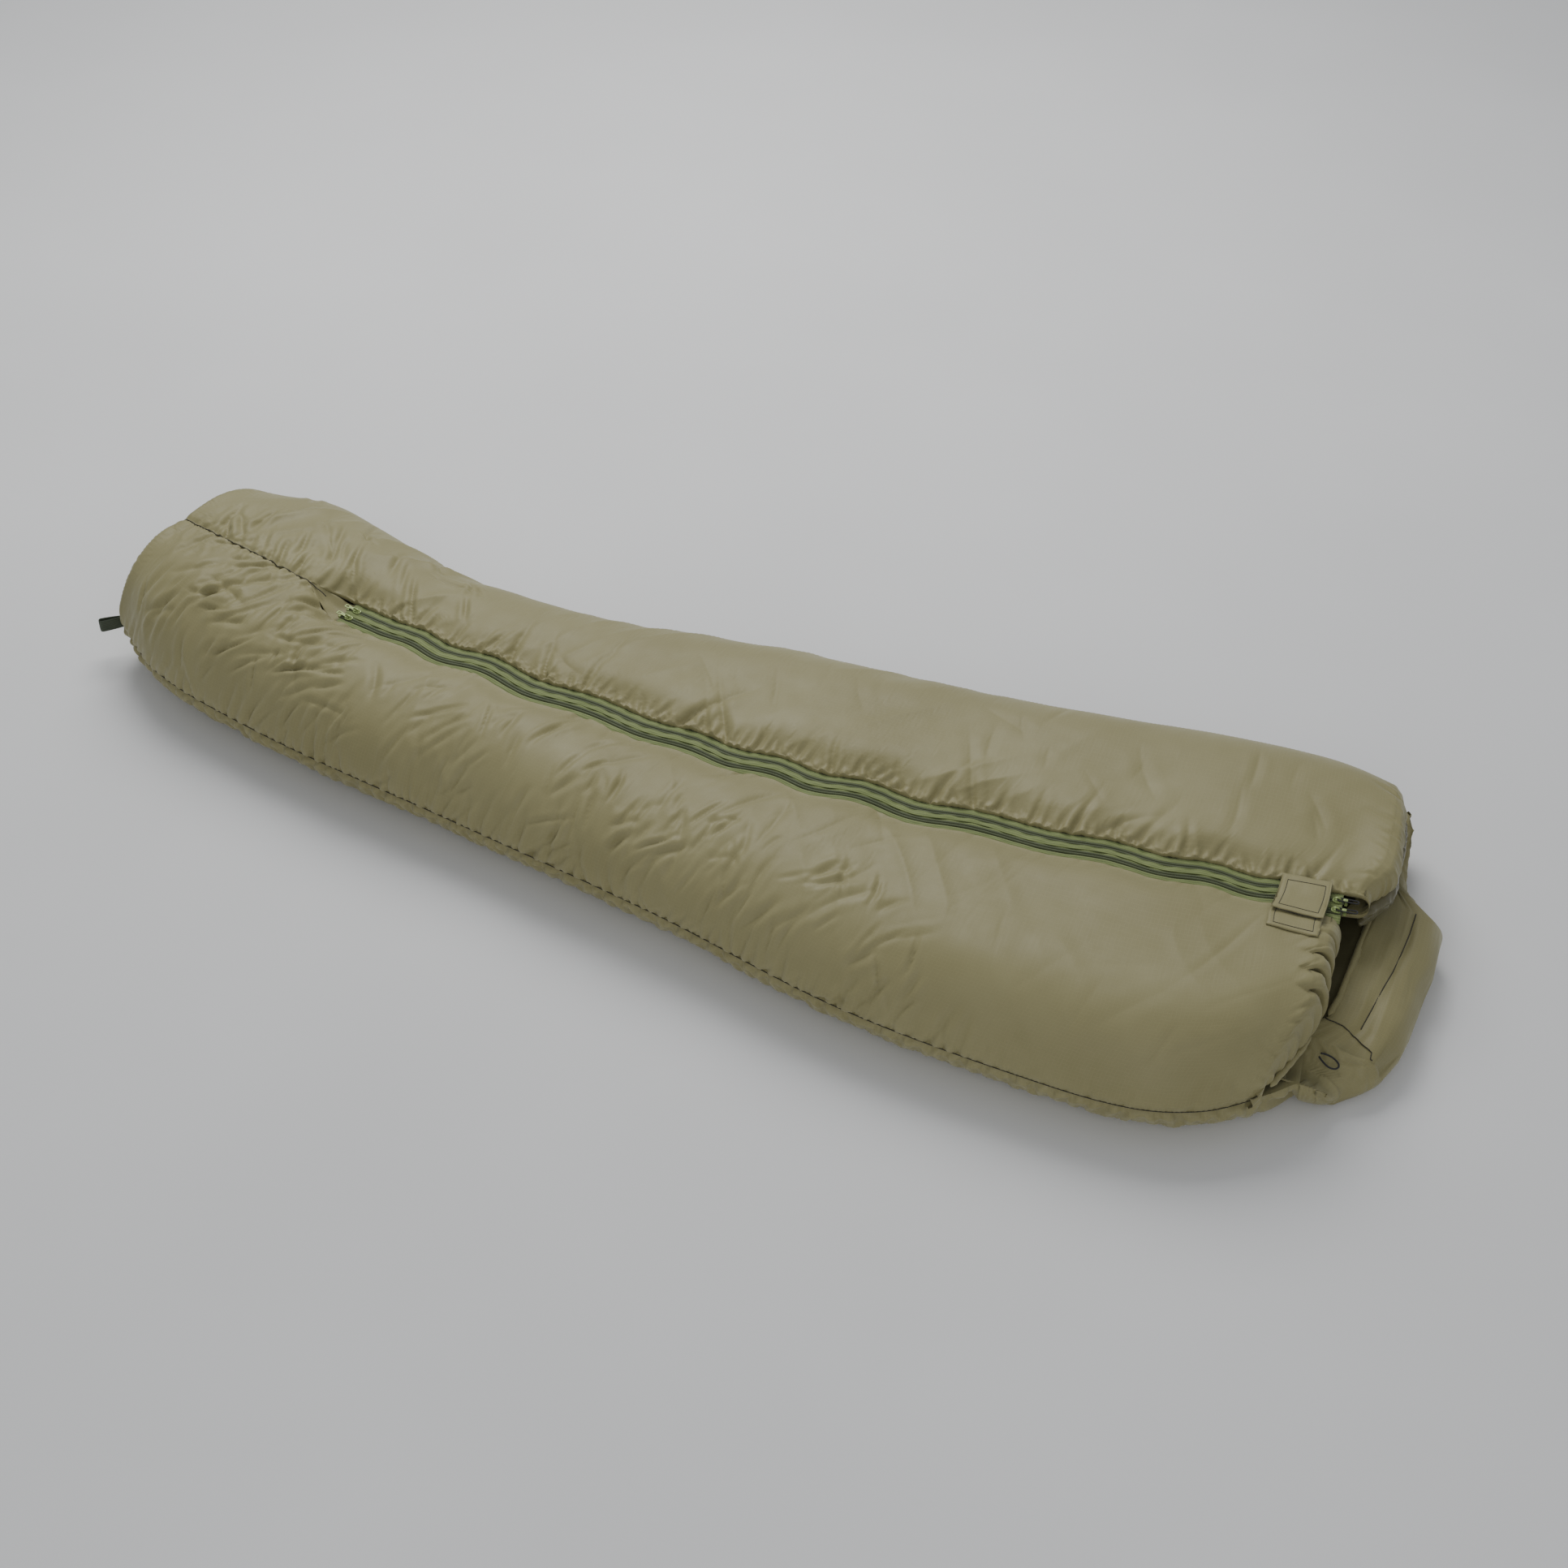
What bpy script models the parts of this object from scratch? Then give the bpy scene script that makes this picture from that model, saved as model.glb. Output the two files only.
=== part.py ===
"""Padded mummy sleeping bag with two parallel centre zips, lying closed on its base.

The bag follows a gentle arc: a place is given as (s, n, z), where s runs along the zip from foot to head,
n runs square to it towards the far side, and z is the height above the ground. Lengths are in metres.
"""

import math

import bmesh
import bpy
from mathutils import Matrix, Vector

# The arc that the zips follow, seen from above.
ZIP_RADIUS = 5.26
ARC_CENTRE = Vector((0.11, 5.20, 0.0))

# Stations along the bag.
FOOT_END = -1.12
FOOT_DEPTH = 0.032
SEAM_END = -0.85
GUSSET_END = -0.775
FLAP_START = -0.70
NEAR_COLLAR = 0.862
FAR_COLLAR = 0.922
NECK_X = 0.998

# Half widths at the side seams, and the height of the top's crest, as (s, value).
NEAR_WIDTHS = (
    (-1.12, 0.168), (-1.0, 0.216), (-0.8, 0.232), (-0.4, 0.240), (-0.05, 0.272),
    (0.25, 0.335), (0.5, 0.366), (0.65, 0.374), (0.74, 0.350), (0.81, 0.300), (0.86, 0.256), (0.93, 0.212),
)
FAR_WIDTHS = (
    (-1.12, 0.200), (-1.0, 0.245), (-0.9, 0.243), (-0.67, 0.230), (-0.45, 0.250), (-0.06, 0.325),
    (0.25, 0.348), (0.65, 0.378), (0.78, 0.378), (0.87, 0.362), (0.93, 0.325),
)
CREST_HEIGHTS = ((-1.12, 0.208), (-0.95, 0.208), (-0.6, 0.188), (0.0, 0.186), (0.6, 0.190), (0.9, 0.182))

SEAM_HEIGHT = 0.075
SIDE_ARC = 0.14
BASE_ARC = 0.07
EDGE_HEIGHT = 0.168
VALLEY_WIDTH = 0.030
FOOT_SEAM_DIP = 0.010
ZIP_EDGE = 0.028
SEAM_GAP = 0.001
CUT_GAP = 0.0008

# One quilted wall, from outside to inside: shell cloth, filling and lining cloth.
# A layer's face lies at a share of the wall's thickness plus a length, both measured from the outside.
CLOTH = 0.0010
LAYER_GAP = 0.0003
WALL = 0.0370
HOOD_WALL = 0.0250
LAYERS = (
    ("shell", (0.0, 0.0), (0.0, CLOTH)),
    ("fill", (0.0, CLOTH + LAYER_GAP), (1.0, -CLOTH - LAYER_GAP)),
    ("lining", (1.0, -CLOTH), (1.0, 0.0)),
)
SEWN_SHARE = 0.22
SEWN_WIDTH = 0.070

# The line on which the far half of the top folds back, as (s, n) at its two ends.
FOLD_FOOT = (-0.74, 0.030)
FOLD_HEAD = (0.924, 0.300)
FOLD_HEIGHT = 0.195

# The two zips.
ZIP_HEIGHT = 0.163
COIL_OFFSET = 0.010
COIL_INNER = 0.0006
COIL_OUTER = 0.0035
COIL_LOW = -0.0012
COIL_HIGH = 0.0018
TAPE_HALF = 0.0004
TAPE_EDGE = 0.0268
TAPE_GAP = 0.0004
STUB_INSET = 0.0012
COIL_START = -0.770
COIL_END = 0.868
STUB_TAPE_START = COIL_START + 0.008
STUB_END = -0.7215
FLAP_COIL_END = 0.8475
HEAD_SLIDER = 0.858
FOOT_SLIDER = -0.755

# Sliders and their pulls.
SLIDER_LENGTH = 0.014
SLIDER_HALF_WIDTH = 0.0055
PLATE_LOW = 0.0022
PLATE_TOP = 0.0038
KEEL_LOW = -0.0032
KEEL_TOP = -0.0018
WEB_HALF = 0.0002
BRIDGE_HALF = 0.0055
BRIDGE_LEG = 0.0015
BRIDGE_TOP = 0.0089
BRIDGE_WINDOW = 0.0036
BRIDGE_THICK = 0.0011
PIN_HEIGHT = 0.0054
PART_OVERLAP = 0.0004
WEB_INSET = 0.002
PULL_ROOT = -0.0008
PULL_BEND = 0.0205
PULL_HALF_WIDTH = 0.0036
PULL_HALF_THICK = 0.0006
PULL_WINDOW = (0.0008, 0.0078, 0.0019)
CORD_PULL_RADIUS = 0.0011
STOP_GAP = 0.0026
STOP_SIZE = (0.004, 0.008, 0.0035)

# The closure tab, the strip it grips, and how high above the quilt each of them lies.
TAB_FOOT = 0.772
TAB_HEAD = 0.845
TAB_HINGE_N = 0.042
TAB_THICK = 0.0016
TAB_CLEARANCE = 0.0116
TAB_LIFT = 0.0022
TAB_OVER_STRIP = 0.0072
TAB_SLOPE = 0.0004
STRIP_INSET = 0.004
STRIP_THICK = 0.0008
UNDER_TAB_OFFSETS = (0.031, 0.050, 0.074)
UNDER_TAB_LIFT = 0.0016
LOOP_OFFSETS = (0.033, 0.050, 0.072)
LOOP_LIFT = 0.0037
HOOK_OFFSETS = (0.034, 0.042, 0.049)
HOOK_LIFT = 0.0054

# Cloth channels at the collars and at the hood's rim, and the cords in them.
CHANNEL_OUTER = 0.0045
CHANNEL_INNER = 0.0028
CORD_RADIUS = 0.0013
COLLAR_START = 0.036
NEAR_COLLAR_REACH = 0.165
FAR_COLLAR_REACH = 0.262
COLLAR_BEYOND = 0.0085
COLLAR_BELOW = 0.012

# The hood, a flat pocket beyond the neck, as (y, value).
HOOD_OUTLINE = ((-0.200, 1.050), (-0.185, 1.078), (-0.12, 1.104), (0.02, 1.110), (0.139, 1.106), (0.205, 1.045))
HOOD_HEIGHTS = ((-0.200, 0.050), (-0.12, 0.074), (0.0, 0.080), (0.12, 0.080), (0.205, 0.062))
HOOD_NEAR = -0.198
HOOD_FAR = 0.205
HOOD_START = NECK_X + 0.0010
HOOD_RIM = 1.008
HOOD_FULL_HEIGHT = 0.074
HOOD_HINGE = Vector((0.995, 0.0, 0.075))
RIM_NEAR = -0.130
RIM_FAR = 0.185
RIM_BACK = 0.0052
RIM_BELOW = 0.0060

# The webbing hang loop at the foot, as (s, n, z) and a level direction.
LOOP_ROOT = (-1.1530, -0.1420, 0.062)
LOOP_WAY = Vector((-0.72, -0.69, 0.0)).normalized()

# The loop of the hood's drawcord.
CORD_LOOP_ROUTE = (
    (1.0075, -0.186, 0.0700), (1.014, -0.1905, 0.0675), (1.024, -0.194, 0.0640), (1.032, -0.192, 0.0620),
    (1.036, -0.186, 0.0615), (1.034, -0.180, 0.0620), (1.026, -0.1765, 0.0650), (1.016, -0.177, 0.0685),
    (1.0085, -0.180, 0.0710),
)

# Moves the middle of the bag's box to the origin.
CENTRING = Vector((-0.0081, 0.0137, 0.0))

CUTTERS = "sleeping_bag_cutters"
BAG = "sleeping_bag"


def clear_scene():
    for old in list(bpy.data.objects):
        bpy.data.objects.remove(old, do_unlink=True)


def make_collection(name):
    group = bpy.data.collections.new(name)
    bpy.context.scene.collection.children.link(group)
    return group


def make_material(name, colour, roughness, metallic=0.0):
    material = bpy.data.materials.new(name)
    material.use_nodes = True
    shader = material.node_tree.nodes["Principled BSDF"]
    shader.inputs["Base Color"].default_value = (*colour, 1.0)
    shader.inputs["Roughness"].default_value = roughness
    shader.inputs["Metallic"].default_value = metallic
    return material


def smooth(x, start, end):
    """0 before start, 1 after end, and a smooth step between them."""
    t = min(max((x - start) / (end - start), 0.0), 1.0)
    return t * t * (3.0 - 2.0 * t)


def through(knots, x):
    """Height at x of a smooth curve through the knots, level beyond its ends."""
    x = min(max(x, knots[0][0]), knots[-1][0])
    last = len(knots) - 1
    i = 0
    while i < last - 1 and x > knots[i + 1][0]:
        i += 1

    def slope(k):
        a, b = knots[max(k - 1, 0)], knots[min(k + 1, last)]
        return (b[1] - a[1]) / (b[0] - a[0])

    (x0, y0), (x1, y1) = knots[i], knots[i + 1]
    span = x1 - x0
    t = (x - x0) / span
    rise = smooth(t, 0.0, 1.0)
    lead = span * slope(i) * t * (1.0 - t) ** 2
    trail = span * slope(i + 1) * t * t * (1.0 - t)
    return y0 + (y1 - y0) * rise + lead - trail


def place(s, n, z):
    """World position of a point of the bag."""
    angle = s / ZIP_RADIUS
    reach = ZIP_RADIUS - n
    return Vector((ARC_CENTRE.x + reach * math.sin(angle), ARC_CENTRE.y - reach * math.cos(angle), z))


def along(s):
    """Level direction along the zip, towards the head."""
    return Vector((math.cos(s / ZIP_RADIUS), math.sin(s / ZIP_RADIUS), 0.0))


def across(s):
    """Level direction square to the zip, towards the far side."""
    return Vector((-math.sin(s / ZIP_RADIUS), math.cos(s / ZIP_RADIUS), 0.0))


def half_width(s, side):
    return through(FAR_WIDTHS if side > 0 else NEAR_WIDTHS, s)


def valley_depth(s):
    """How far the top dips to the closed seam of the foot, or to the zips."""
    zip_dip = through(CREST_HEIGHTS, s) - EDGE_HEIGHT
    return FOOT_SEAM_DIP + (zip_dip - FOOT_SEAM_DIP) * smooth(s, SEAM_END, GUSSET_END)


def edge(s):
    """Distance from the centre line to the quilted edge: the closed seam, then the side of the zips."""
    return SEAM_GAP + (ZIP_EDGE - SEAM_GAP) * smooth(s, SEAM_END, GUSSET_END)


def fold_line(s):
    """Offset n of the straight fold line at station s."""
    a = place(*FOLD_FOOT, 0.0) - ARC_CENTRE
    way = place(*FOLD_HEAD, 0.0) - ARC_CENTRE - a
    out = Vector((math.sin(s / ZIP_RADIUS), -math.cos(s / ZIP_RADIUS), 0.0))
    reach = a.cross(way).z / out.cross(way).z
    return ZIP_RADIUS - reach


def inner_edge(s, side):
    """Where the part of the top that is sewn to the base ends, towards the centre."""
    if side < 0:
        return edge(s)
    start = smooth(s, FLAP_START - 0.03, FLAP_START)
    return edge(s) * (1.0 - start) + (fold_line(s) + CUT_GAP) * start


def top_height(s, n, side):
    arc = min(SIDE_ARC, 0.8 * half_width(s, side))
    depth = min(max(half_width(s, side) - abs(n), 0.0), arc)
    rise = math.sqrt(max(1.0 - ((arc - depth) / arc) ** 2, 0.0))
    dome = SEAM_HEIGHT + (through(CREST_HEIGHTS, s) - SEAM_HEIGHT) * rise
    from_edge = max(abs(n) - edge(s), 0.0)
    return dome - valley_depth(s) * math.exp(-((from_edge / VALLEY_WIDTH) ** 2))


def base_height(s, n, side):
    depth = min(max(half_width(s, side) - abs(n), 0.0), BASE_ARC)
    rise = math.sqrt(max(1.0 - ((BASE_ARC - depth) / BASE_ARC) ** 2, 0.0))
    return SEAM_HEIGHT * (1.0 - rise)


def wall_thickness(s, n, facing):
    """The quilt's thickness: full, but thin where the top is sewn to the zips and to its closed seam."""
    if facing < 0:
        return WALL
    return WALL * (SEWN_SHARE + (1.0 - SEWN_SHARE) * smooth(abs(n) - edge(s), 0.0, SEWN_WIDTH))


def skin_point(s, n, side, height, facing):
    """A point (s, n, z) of the skin, its outward normal in the cross section, and the quilt's thickness."""
    width = half_width(s, side)
    thick = wall_thickness(s, n, facing)
    if width - abs(n) < 1e-6:
        return (s, side * width, SEAM_HEIGHT + facing * LAYER_GAP), (float(side), 0.0), thick
    step = min(0.0005, 0.5 * (width - abs(n)))
    a = height(s, n - step, side)
    b = height(s, n + step, side)
    tangent = Vector((2.0 * step, b - a)).normalized()
    return (s, n, height(s, n, side)), (-tangent.y * facing, tangent.x * facing), thick


def spread(count, start, end):
    return [start + (end - start) * i / (count - 1) for i in range(count)]


def both_ends(t):
    """0 to 1, with its points crowded towards both ends."""
    return 0.5 - 0.5 * math.cos(math.pi * t)


def near_end(n):
    """The near collar's station, cut back a little at its outer corner."""
    return NEAR_COLLAR - 0.045 * smooth(abs(n), 0.17, 0.27)


def far_end(n):
    """The far collar's station, cut back beside the zips."""
    return FAR_COLLAR - 0.035 * math.exp(-(((abs(n) - ZIP_EDGE) / 0.04) ** 2))


def foot_stations():
    """From the foot's end to where the zips begin, closer together where the seam opens."""
    return spread(4, FOOT_END, SEAM_END) + [(SEAM_END + GUSSET_END) / 2.0]


def near_rows():
    columns = [both_ends(t) for t in spread(8, 0.0, 1.0)]
    rows = []
    for station in foot_stations() + spread(14, GUSSET_END, NEAR_COLLAR):
        past = max((station - GUSSET_END) / (NEAR_COLLAR - GUSSET_END), 0.0)
        row = []
        for column in columns:
            collar = near_end(half_width(NEAR_COLLAR, -1) * (1.0 - column) + ZIP_EDGE * column)
            s = station + (collar - NEAR_COLLAR) * past
            n = -(half_width(s, -1) * (1.0 - column) + inner_edge(s, -1) * column)
            row.append(skin_point(s, n, -1, top_height, 1))
        rows.append(row)
    return rows


def far_rows():
    columns = [both_ends(t) ** 1.2 for t in spread(6, 0.0, 1.0)]
    rows = []
    for s in foot_stations() + [GUSSET_END, FLAP_START - 0.03] + spread(13, FLAP_START, FAR_COLLAR):
        row = []
        for column in columns:
            n = half_width(s, 1) * (1.0 - column) + inner_edge(s, 1) * column
            row.append(skin_point(s, n, 1, top_height, 1))
        rows.append(row)
    return rows


def flap_rows():
    columns = [both_ends(t) for t in spread(7, 0.0, 1.0)]
    rows = []
    for t in spread(13, 0.0, 1.0):
        row = []
        for column in columns:
            at_end = FOLD_HEAD[1] * (1.0 - column) + ZIP_EDGE * column
            s = FLAP_START + (far_end(at_end) - FLAP_START) * t
            n = (fold_line(s) - CUT_GAP) * (1.0 - column) + ZIP_EDGE * column
            row.append(skin_point(s, n, 1, top_height, 1))
        rows.append(row)
    return rows


def station_at(x, n):
    """The station s where the line of constant n crosses the world plane at x."""
    return ZIP_RADIUS * math.asin((x - ARC_CENTRE.x) / (ZIP_RADIUS - n))


def base_offset(s, side, k):
    """Offset n of a point of the base: point k of 4 round one side, or k thirds of the flat middle."""
    if side == 0:
        low, high = BASE_ARC - half_width(s, -1), half_width(s, 1) - BASE_ARC
        return low + (high - low) * k / 3.0
    return side * (half_width(s, side) - BASE_ARC * (1.0 - math.cos(0.5 * math.pi * k / 4)))


def neck_station(side, k):
    """The station where that line of the base meets the neck."""
    s = NEAR_COLLAR
    for _ in range(4):
        s = station_at(NECK_X, base_offset(s, side, k))
    return s


def base_rows():
    """The base reaches round underneath from one side seam to the other, and on to the neck."""
    lines = [(-1, k) for k in range(5)] + [(0, 1), (0, 2)] + [(1, 4 - k) for k in range(5)]
    rows = []
    for t in spread(17, 0.0, 1.0):
        row = []
        for side, k in lines:
            s = FOOT_END + (neck_station(side, k) - FOOT_END) * t
            n = base_offset(s, side, k)
            flat = side == 0 or k == 4
            row.append(((s, n, 0.0), (0.0, -1.0), WALL) if flat else skin_point(s, n, side, base_height, -1))
        rows.append(row)
    return rows


def offset_point(point, inset):
    """The skin's point moved inwards, square to the skin, and put in the world."""
    (s, n, z), (across_part, up_part), _ = point
    return place(s, n - across_part * inset, z - up_part * inset)


def add_object(name, mesh, material, group, origin=Vector()):
    """An object for the mesh, with its origin moved to the given world point."""
    if origin.length > 0.0:
        mesh.transform(Matrix.Translation(-origin))
    piece = bpy.data.objects.new(name, mesh)
    piece.location = origin
    mesh.materials.clear()
    mesh.materials.append(material)
    group.objects.link(piece)
    return piece


def strip_faces(mesh, a, b):
    """Two triangles for each cell between two lists of corners, always on the same diagonal."""
    for i in range(len(a) - 1):
        mesh.faces.new((a[i], b[i], b[i + 1]))
        mesh.faces.new((a[i], b[i + 1], a[i + 1]))


def finish_mesh(mesh, name):
    bmesh.ops.remove_doubles(mesh, verts=mesh.verts, dist=1e-6)
    bmesh.ops.recalc_face_normals(mesh, faces=mesh.faces)
    data = bpy.data.meshes.new(name)
    mesh.to_mesh(data)
    mesh.free()
    return data


def closed_wall(outer, inner):
    """Closed solid between two grids of world points of the same size."""
    mesh = bmesh.new()
    outside = [[mesh.verts.new(p) for p in row] for row in outer]
    inside = [[mesh.verts.new(p) for p in row] for row in inner]
    for grid in (outside, inside):
        for a, b in zip(grid, grid[1:]):
            strip_faces(mesh, a, b)
    strip_faces(mesh, outside[0], inside[0])
    strip_faces(mesh, outside[-1], inside[-1])
    strip_faces(mesh, [row[0] for row in outside], [row[0] for row in inside])
    strip_faces(mesh, [row[-1] for row in outside], [row[-1] for row in inside])
    return mesh


def quilted(name, rows, materials, group, origin=Vector()):
    """The three layers of one quilted panel, each its own closed solid."""
    for layer, *faces in LAYERS:
        grids = []
        for share, length in faces:
            grids.append([[offset_point(p, share * p[2] + length) for p in row] for row in rows])
        data = finish_mesh(closed_wall(*grids), f"{name}_{layer}")
        add_object(f"{name}_{layer}", data, materials[layer], group, origin)


def ring_loft(rings, cap=True):
    """Closed solid through rings of world points, with its two ends capped."""
    mesh = bmesh.new()
    loops = [[mesh.verts.new(p) for p in ring] for ring in rings]
    for a, b in zip(loops, loops[1:]):
        strip_faces(mesh, a + a[:1], b + b[:1])
    if cap:
        mesh.faces.new(loops[0])
        mesh.faces.new(loops[-1])
    else:
        strip_faces(mesh, loops[0] + loops[0][:1], loops[-1] + loops[-1][:1])
    return mesh


def section_ring(inset):
    """The bag's closed cross section at its foot end, moved inwards, as (n, z) points."""
    points = []
    for side, height, facing, count in ((-1, top_height, 1, 6), (1, top_height, 1, 6), (1, base_height, -1, 5),
                                        (-1, base_height, -1, 5)):
        width = half_width(FOOT_END, side)
        ends = [both_ends(t) for t in spread(count + 1, 0.0, 1.0)][:-1]
        inward = height is top_height and side < 0 or height is base_height and side > 0
        for t in ends:
            away = t if inward else 1.0 - t
            if not inward and away == 1.0:
                away = 0.999
            n = side * width * (1.0 - away)
            (_, n, z), (across_part, up_part), _ = skin_point(FOOT_END, n, side, height, facing)
            points.append((n - across_part * inset, z - up_part * inset))
    return points


def foot_dome(inset, depth, start):
    """Rings of a rounded end that closes the foot, from its seam outwards."""
    middle_n, middle_z = 0.010, 0.085
    rings = []
    for step in range(5):
        angle = 0.5 * math.pi * step / 4.6
        scale = math.cos(angle) ** 0.45
        s = start - depth * math.sin(angle)
        ring = [(middle_n + (n - middle_n) * scale, middle_z + (z - middle_z) * scale)
                for n, z in section_ring(inset)]
        rings.append([place(s, n, z) for n, z in ring])
    return rings


def closed_cup(outer, inner):
    """Closed solid between two domes that share their open end."""
    mesh = bmesh.new()
    domes = [[[mesh.verts.new(p) for p in ring] for ring in dome] for dome in (outer, inner)]
    for dome in domes:
        for a, b in zip(dome, dome[1:]):
            strip_faces(mesh, a + a[:1], b + b[:1])
        mesh.faces.new(dome[-1])
    rims = [dome[0] + dome[0][:1] for dome in domes]
    strip_faces(mesh, *rims)
    return mesh


def make_foot_end(materials, group):
    start = FOOT_END - 0.0006
    shell = closed_cup(foot_dome(0.0, FOOT_DEPTH, start), foot_dome(CLOTH, FOOT_DEPTH - CLOTH, start))
    add_object("foot_end_shell", finish_mesh(shell, "foot_end_shell"), materials["shell"], group)
    fill = ring_loft(foot_dome(CLOTH + LAYER_GAP, FOOT_DEPTH - 1.5 * CLOTH, start))
    add_object("foot_end_fill", finish_mesh(fill, "foot_end_fill"), materials["fill"], group)
    inside = section_ring(WALL + 0.0040)
    plate = ring_loft([[place(s, n, z) for n, z in inside] for s in (FOOT_END, FOOT_END + CLOTH)])
    add_object("foot_end_lining", finish_mesh(plate, "foot_end_lining"), materials["lining"], group)


def arc_bar(name, low_n, high_n, low_z, high_z, start, end, count, material, group, origin=Vector()):
    """A bar of rectangular section that follows the zips' arc."""
    rings = []
    for s in spread(count, start, end):
        corners = ((low_n, low_z), (high_n, low_z), (high_n, high_z), (low_n, high_z))
        rings.append([place(s, n, z) for n, z in corners])
    return add_object(name, finish_mesh(ring_loft(rings), name), material, group, origin)


def make_zips(materials, group, hinge):
    """Coils and tapes of both zips. A is the far zip, B the near one."""
    tape = materials["tape"]
    coil = materials["coil"]
    low, high = ZIP_HEIGHT + COIL_LOW, ZIP_HEIGHT + COIL_HIGH
    flat_low, flat_high = ZIP_HEIGHT - TAPE_HALF, ZIP_HEIGHT + TAPE_HALF
    near_a, far_b = COIL_OFFSET - COIL_OUTER, -COIL_OFFSET + COIL_OUTER
    outer_a = COIL_OFFSET + COIL_OUTER
    inner_a = COIL_OFFSET + COIL_INNER
    whole, flap, stub = (COIL_START, COIL_END, 19), (FLAP_START, FLAP_COIL_END, 19), (COIL_START, STUB_END, 3)
    arc_bar("coil_a_near_half", near_a, COIL_OFFSET - COIL_INNER, low, high, *whole, coil, group)
    arc_bar("coil_b_far_half", -COIL_OFFSET + COIL_INNER, far_b, low, high, *whole, coil, group)
    arc_bar("coil_b_near_half", -outer_a, -inner_a, low, high, *whole, coil, group)
    arc_bar("coil_a_foot_stub", inner_a, outer_a, low, high, *stub, coil, group)
    arc_bar("coil_a_far_half", inner_a, outer_a, low, high, *flap, coil, group, hinge)
    whole, flap, stub = (COIL_START, COIL_END, 15), (FLAP_START, FLAP_COIL_END, 15), (STUB_TAPE_START, STUB_END, 3)
    inner_tape = outer_a + TAPE_GAP
    arc_bar("zip_tape_centre", far_b + TAPE_GAP, near_a - TAPE_GAP, flat_low, flat_high, *whole, tape, group)
    arc_bar("zip_tape_near", -TAPE_EDGE, -inner_tape, flat_low, flat_high, *whole, tape, group)
    arc_bar("zip_tape_foot_stub", inner_tape, TAPE_EDGE - STUB_INSET, flat_low, flat_high, *stub, tape, group)
    arc_bar("zip_tape_far", inner_tape, TAPE_EDGE, flat_low, flat_high, *flap, tape, group, hinge)


def make_draft_tube(material, group):
    """The padded tube behind the zips that keeps the draught out."""
    centre_n, centre_z = -0.002, ZIP_HEIGHT - 0.018
    half_width_n, half_height = 0.022, 0.010
    start, end = FLAP_START - 0.03, 0.84
    rings = []
    for s in spread(13, start, end):
        ring = []
        for k in range(8):
            angle = 2.0 * math.pi * k / 8
            n, z = centre_n + half_width_n * math.cos(angle), centre_z + half_height * math.sin(angle)
            ring.append(place(s, n, z))
        rings.append(ring)
    add_object("draft_tube", finish_mesh(ring_loft(rings), "draft_tube"), material, group)


def add_box(mesh, low, high):
    centre = (Vector(low) + Vector(high)) / 2.0
    size = Vector(high) - Vector(low)
    matrix = Matrix.Translation(centre) @ Matrix.Diagonal((*size, 1.0))
    bmesh.ops.create_cube(mesh, size=1.0, matrix=matrix)


def box_object(name, low, high, material, group):
    mesh = bmesh.new()
    add_box(mesh, low, high)
    return add_object(name, finish_mesh(mesh, name), material, group)


def zip_frame(s, n, z, turned=False):
    """Matrix of a local frame with X along the zip, Y across it and Z up, or turned to face the foot."""
    x, y = along(s), across(s)
    if turned:
        x, y = -x, -y
    matrix = Matrix((x, y, Vector((0, 0, 1)))).transposed().to_4x4()
    matrix.translation = place(s, n, z)
    return matrix


def slider_mesh(material, cutters):
    """Slider body: a plate over and a plate under the coil, a thin web between, and a bridge for the pull."""
    half = SLIDER_LENGTH / 2.0
    window = BRIDGE_TOP - PLATE_TOP - BRIDGE_WINDOW
    web_end = half - WEB_INSET
    web_low, web_top = KEEL_TOP - PART_OVERLAP, PLATE_LOW + PART_OVERLAP
    leg_low, leg_inner = PLATE_TOP - PART_OVERLAP, BRIDGE_HALF - BRIDGE_LEG
    boxes = (
        ((-half, -SLIDER_HALF_WIDTH, KEEL_LOW), (half, SLIDER_HALF_WIDTH, KEEL_TOP)),
        ((-web_end, -WEB_HALF, web_low), (web_end, WEB_HALF, web_top)),
        ((-BRIDGE_HALF, -BRIDGE_THICK, leg_low), (-leg_inner, BRIDGE_THICK, BRIDGE_TOP)),
        ((leg_inner, -BRIDGE_THICK, leg_low), (BRIDGE_HALF, BRIDGE_THICK, BRIDGE_TOP)),
        ((0.0005 - BRIDGE_HALF, -BRIDGE_THICK + 0.0001, BRIDGE_TOP - window),
         (BRIDGE_HALF - 0.0005, BRIDGE_THICK - 0.0001, BRIDGE_TOP - 0.0001)),
    )
    plate = (-half, -SLIDER_HALF_WIDTH, PLATE_LOW), (half, SLIDER_HALF_WIDTH, PLATE_TOP)
    body = box_object("slider_pattern", *plate, material, cutters)
    for i, (low, high) in enumerate(boxes):
        part = box_object(f"slider_pattern_{i}", low, high, material, cutters)
        join = body.modifiers.new(f"join_{i}", "BOOLEAN")
        join.operation = "UNION"
        join.object = part
    graph = bpy.context.evaluated_depsgraph_get()
    data = bpy.data.meshes.new_from_object(body.evaluated_get(graph))
    data.name = "slider_body"
    return data


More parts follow.
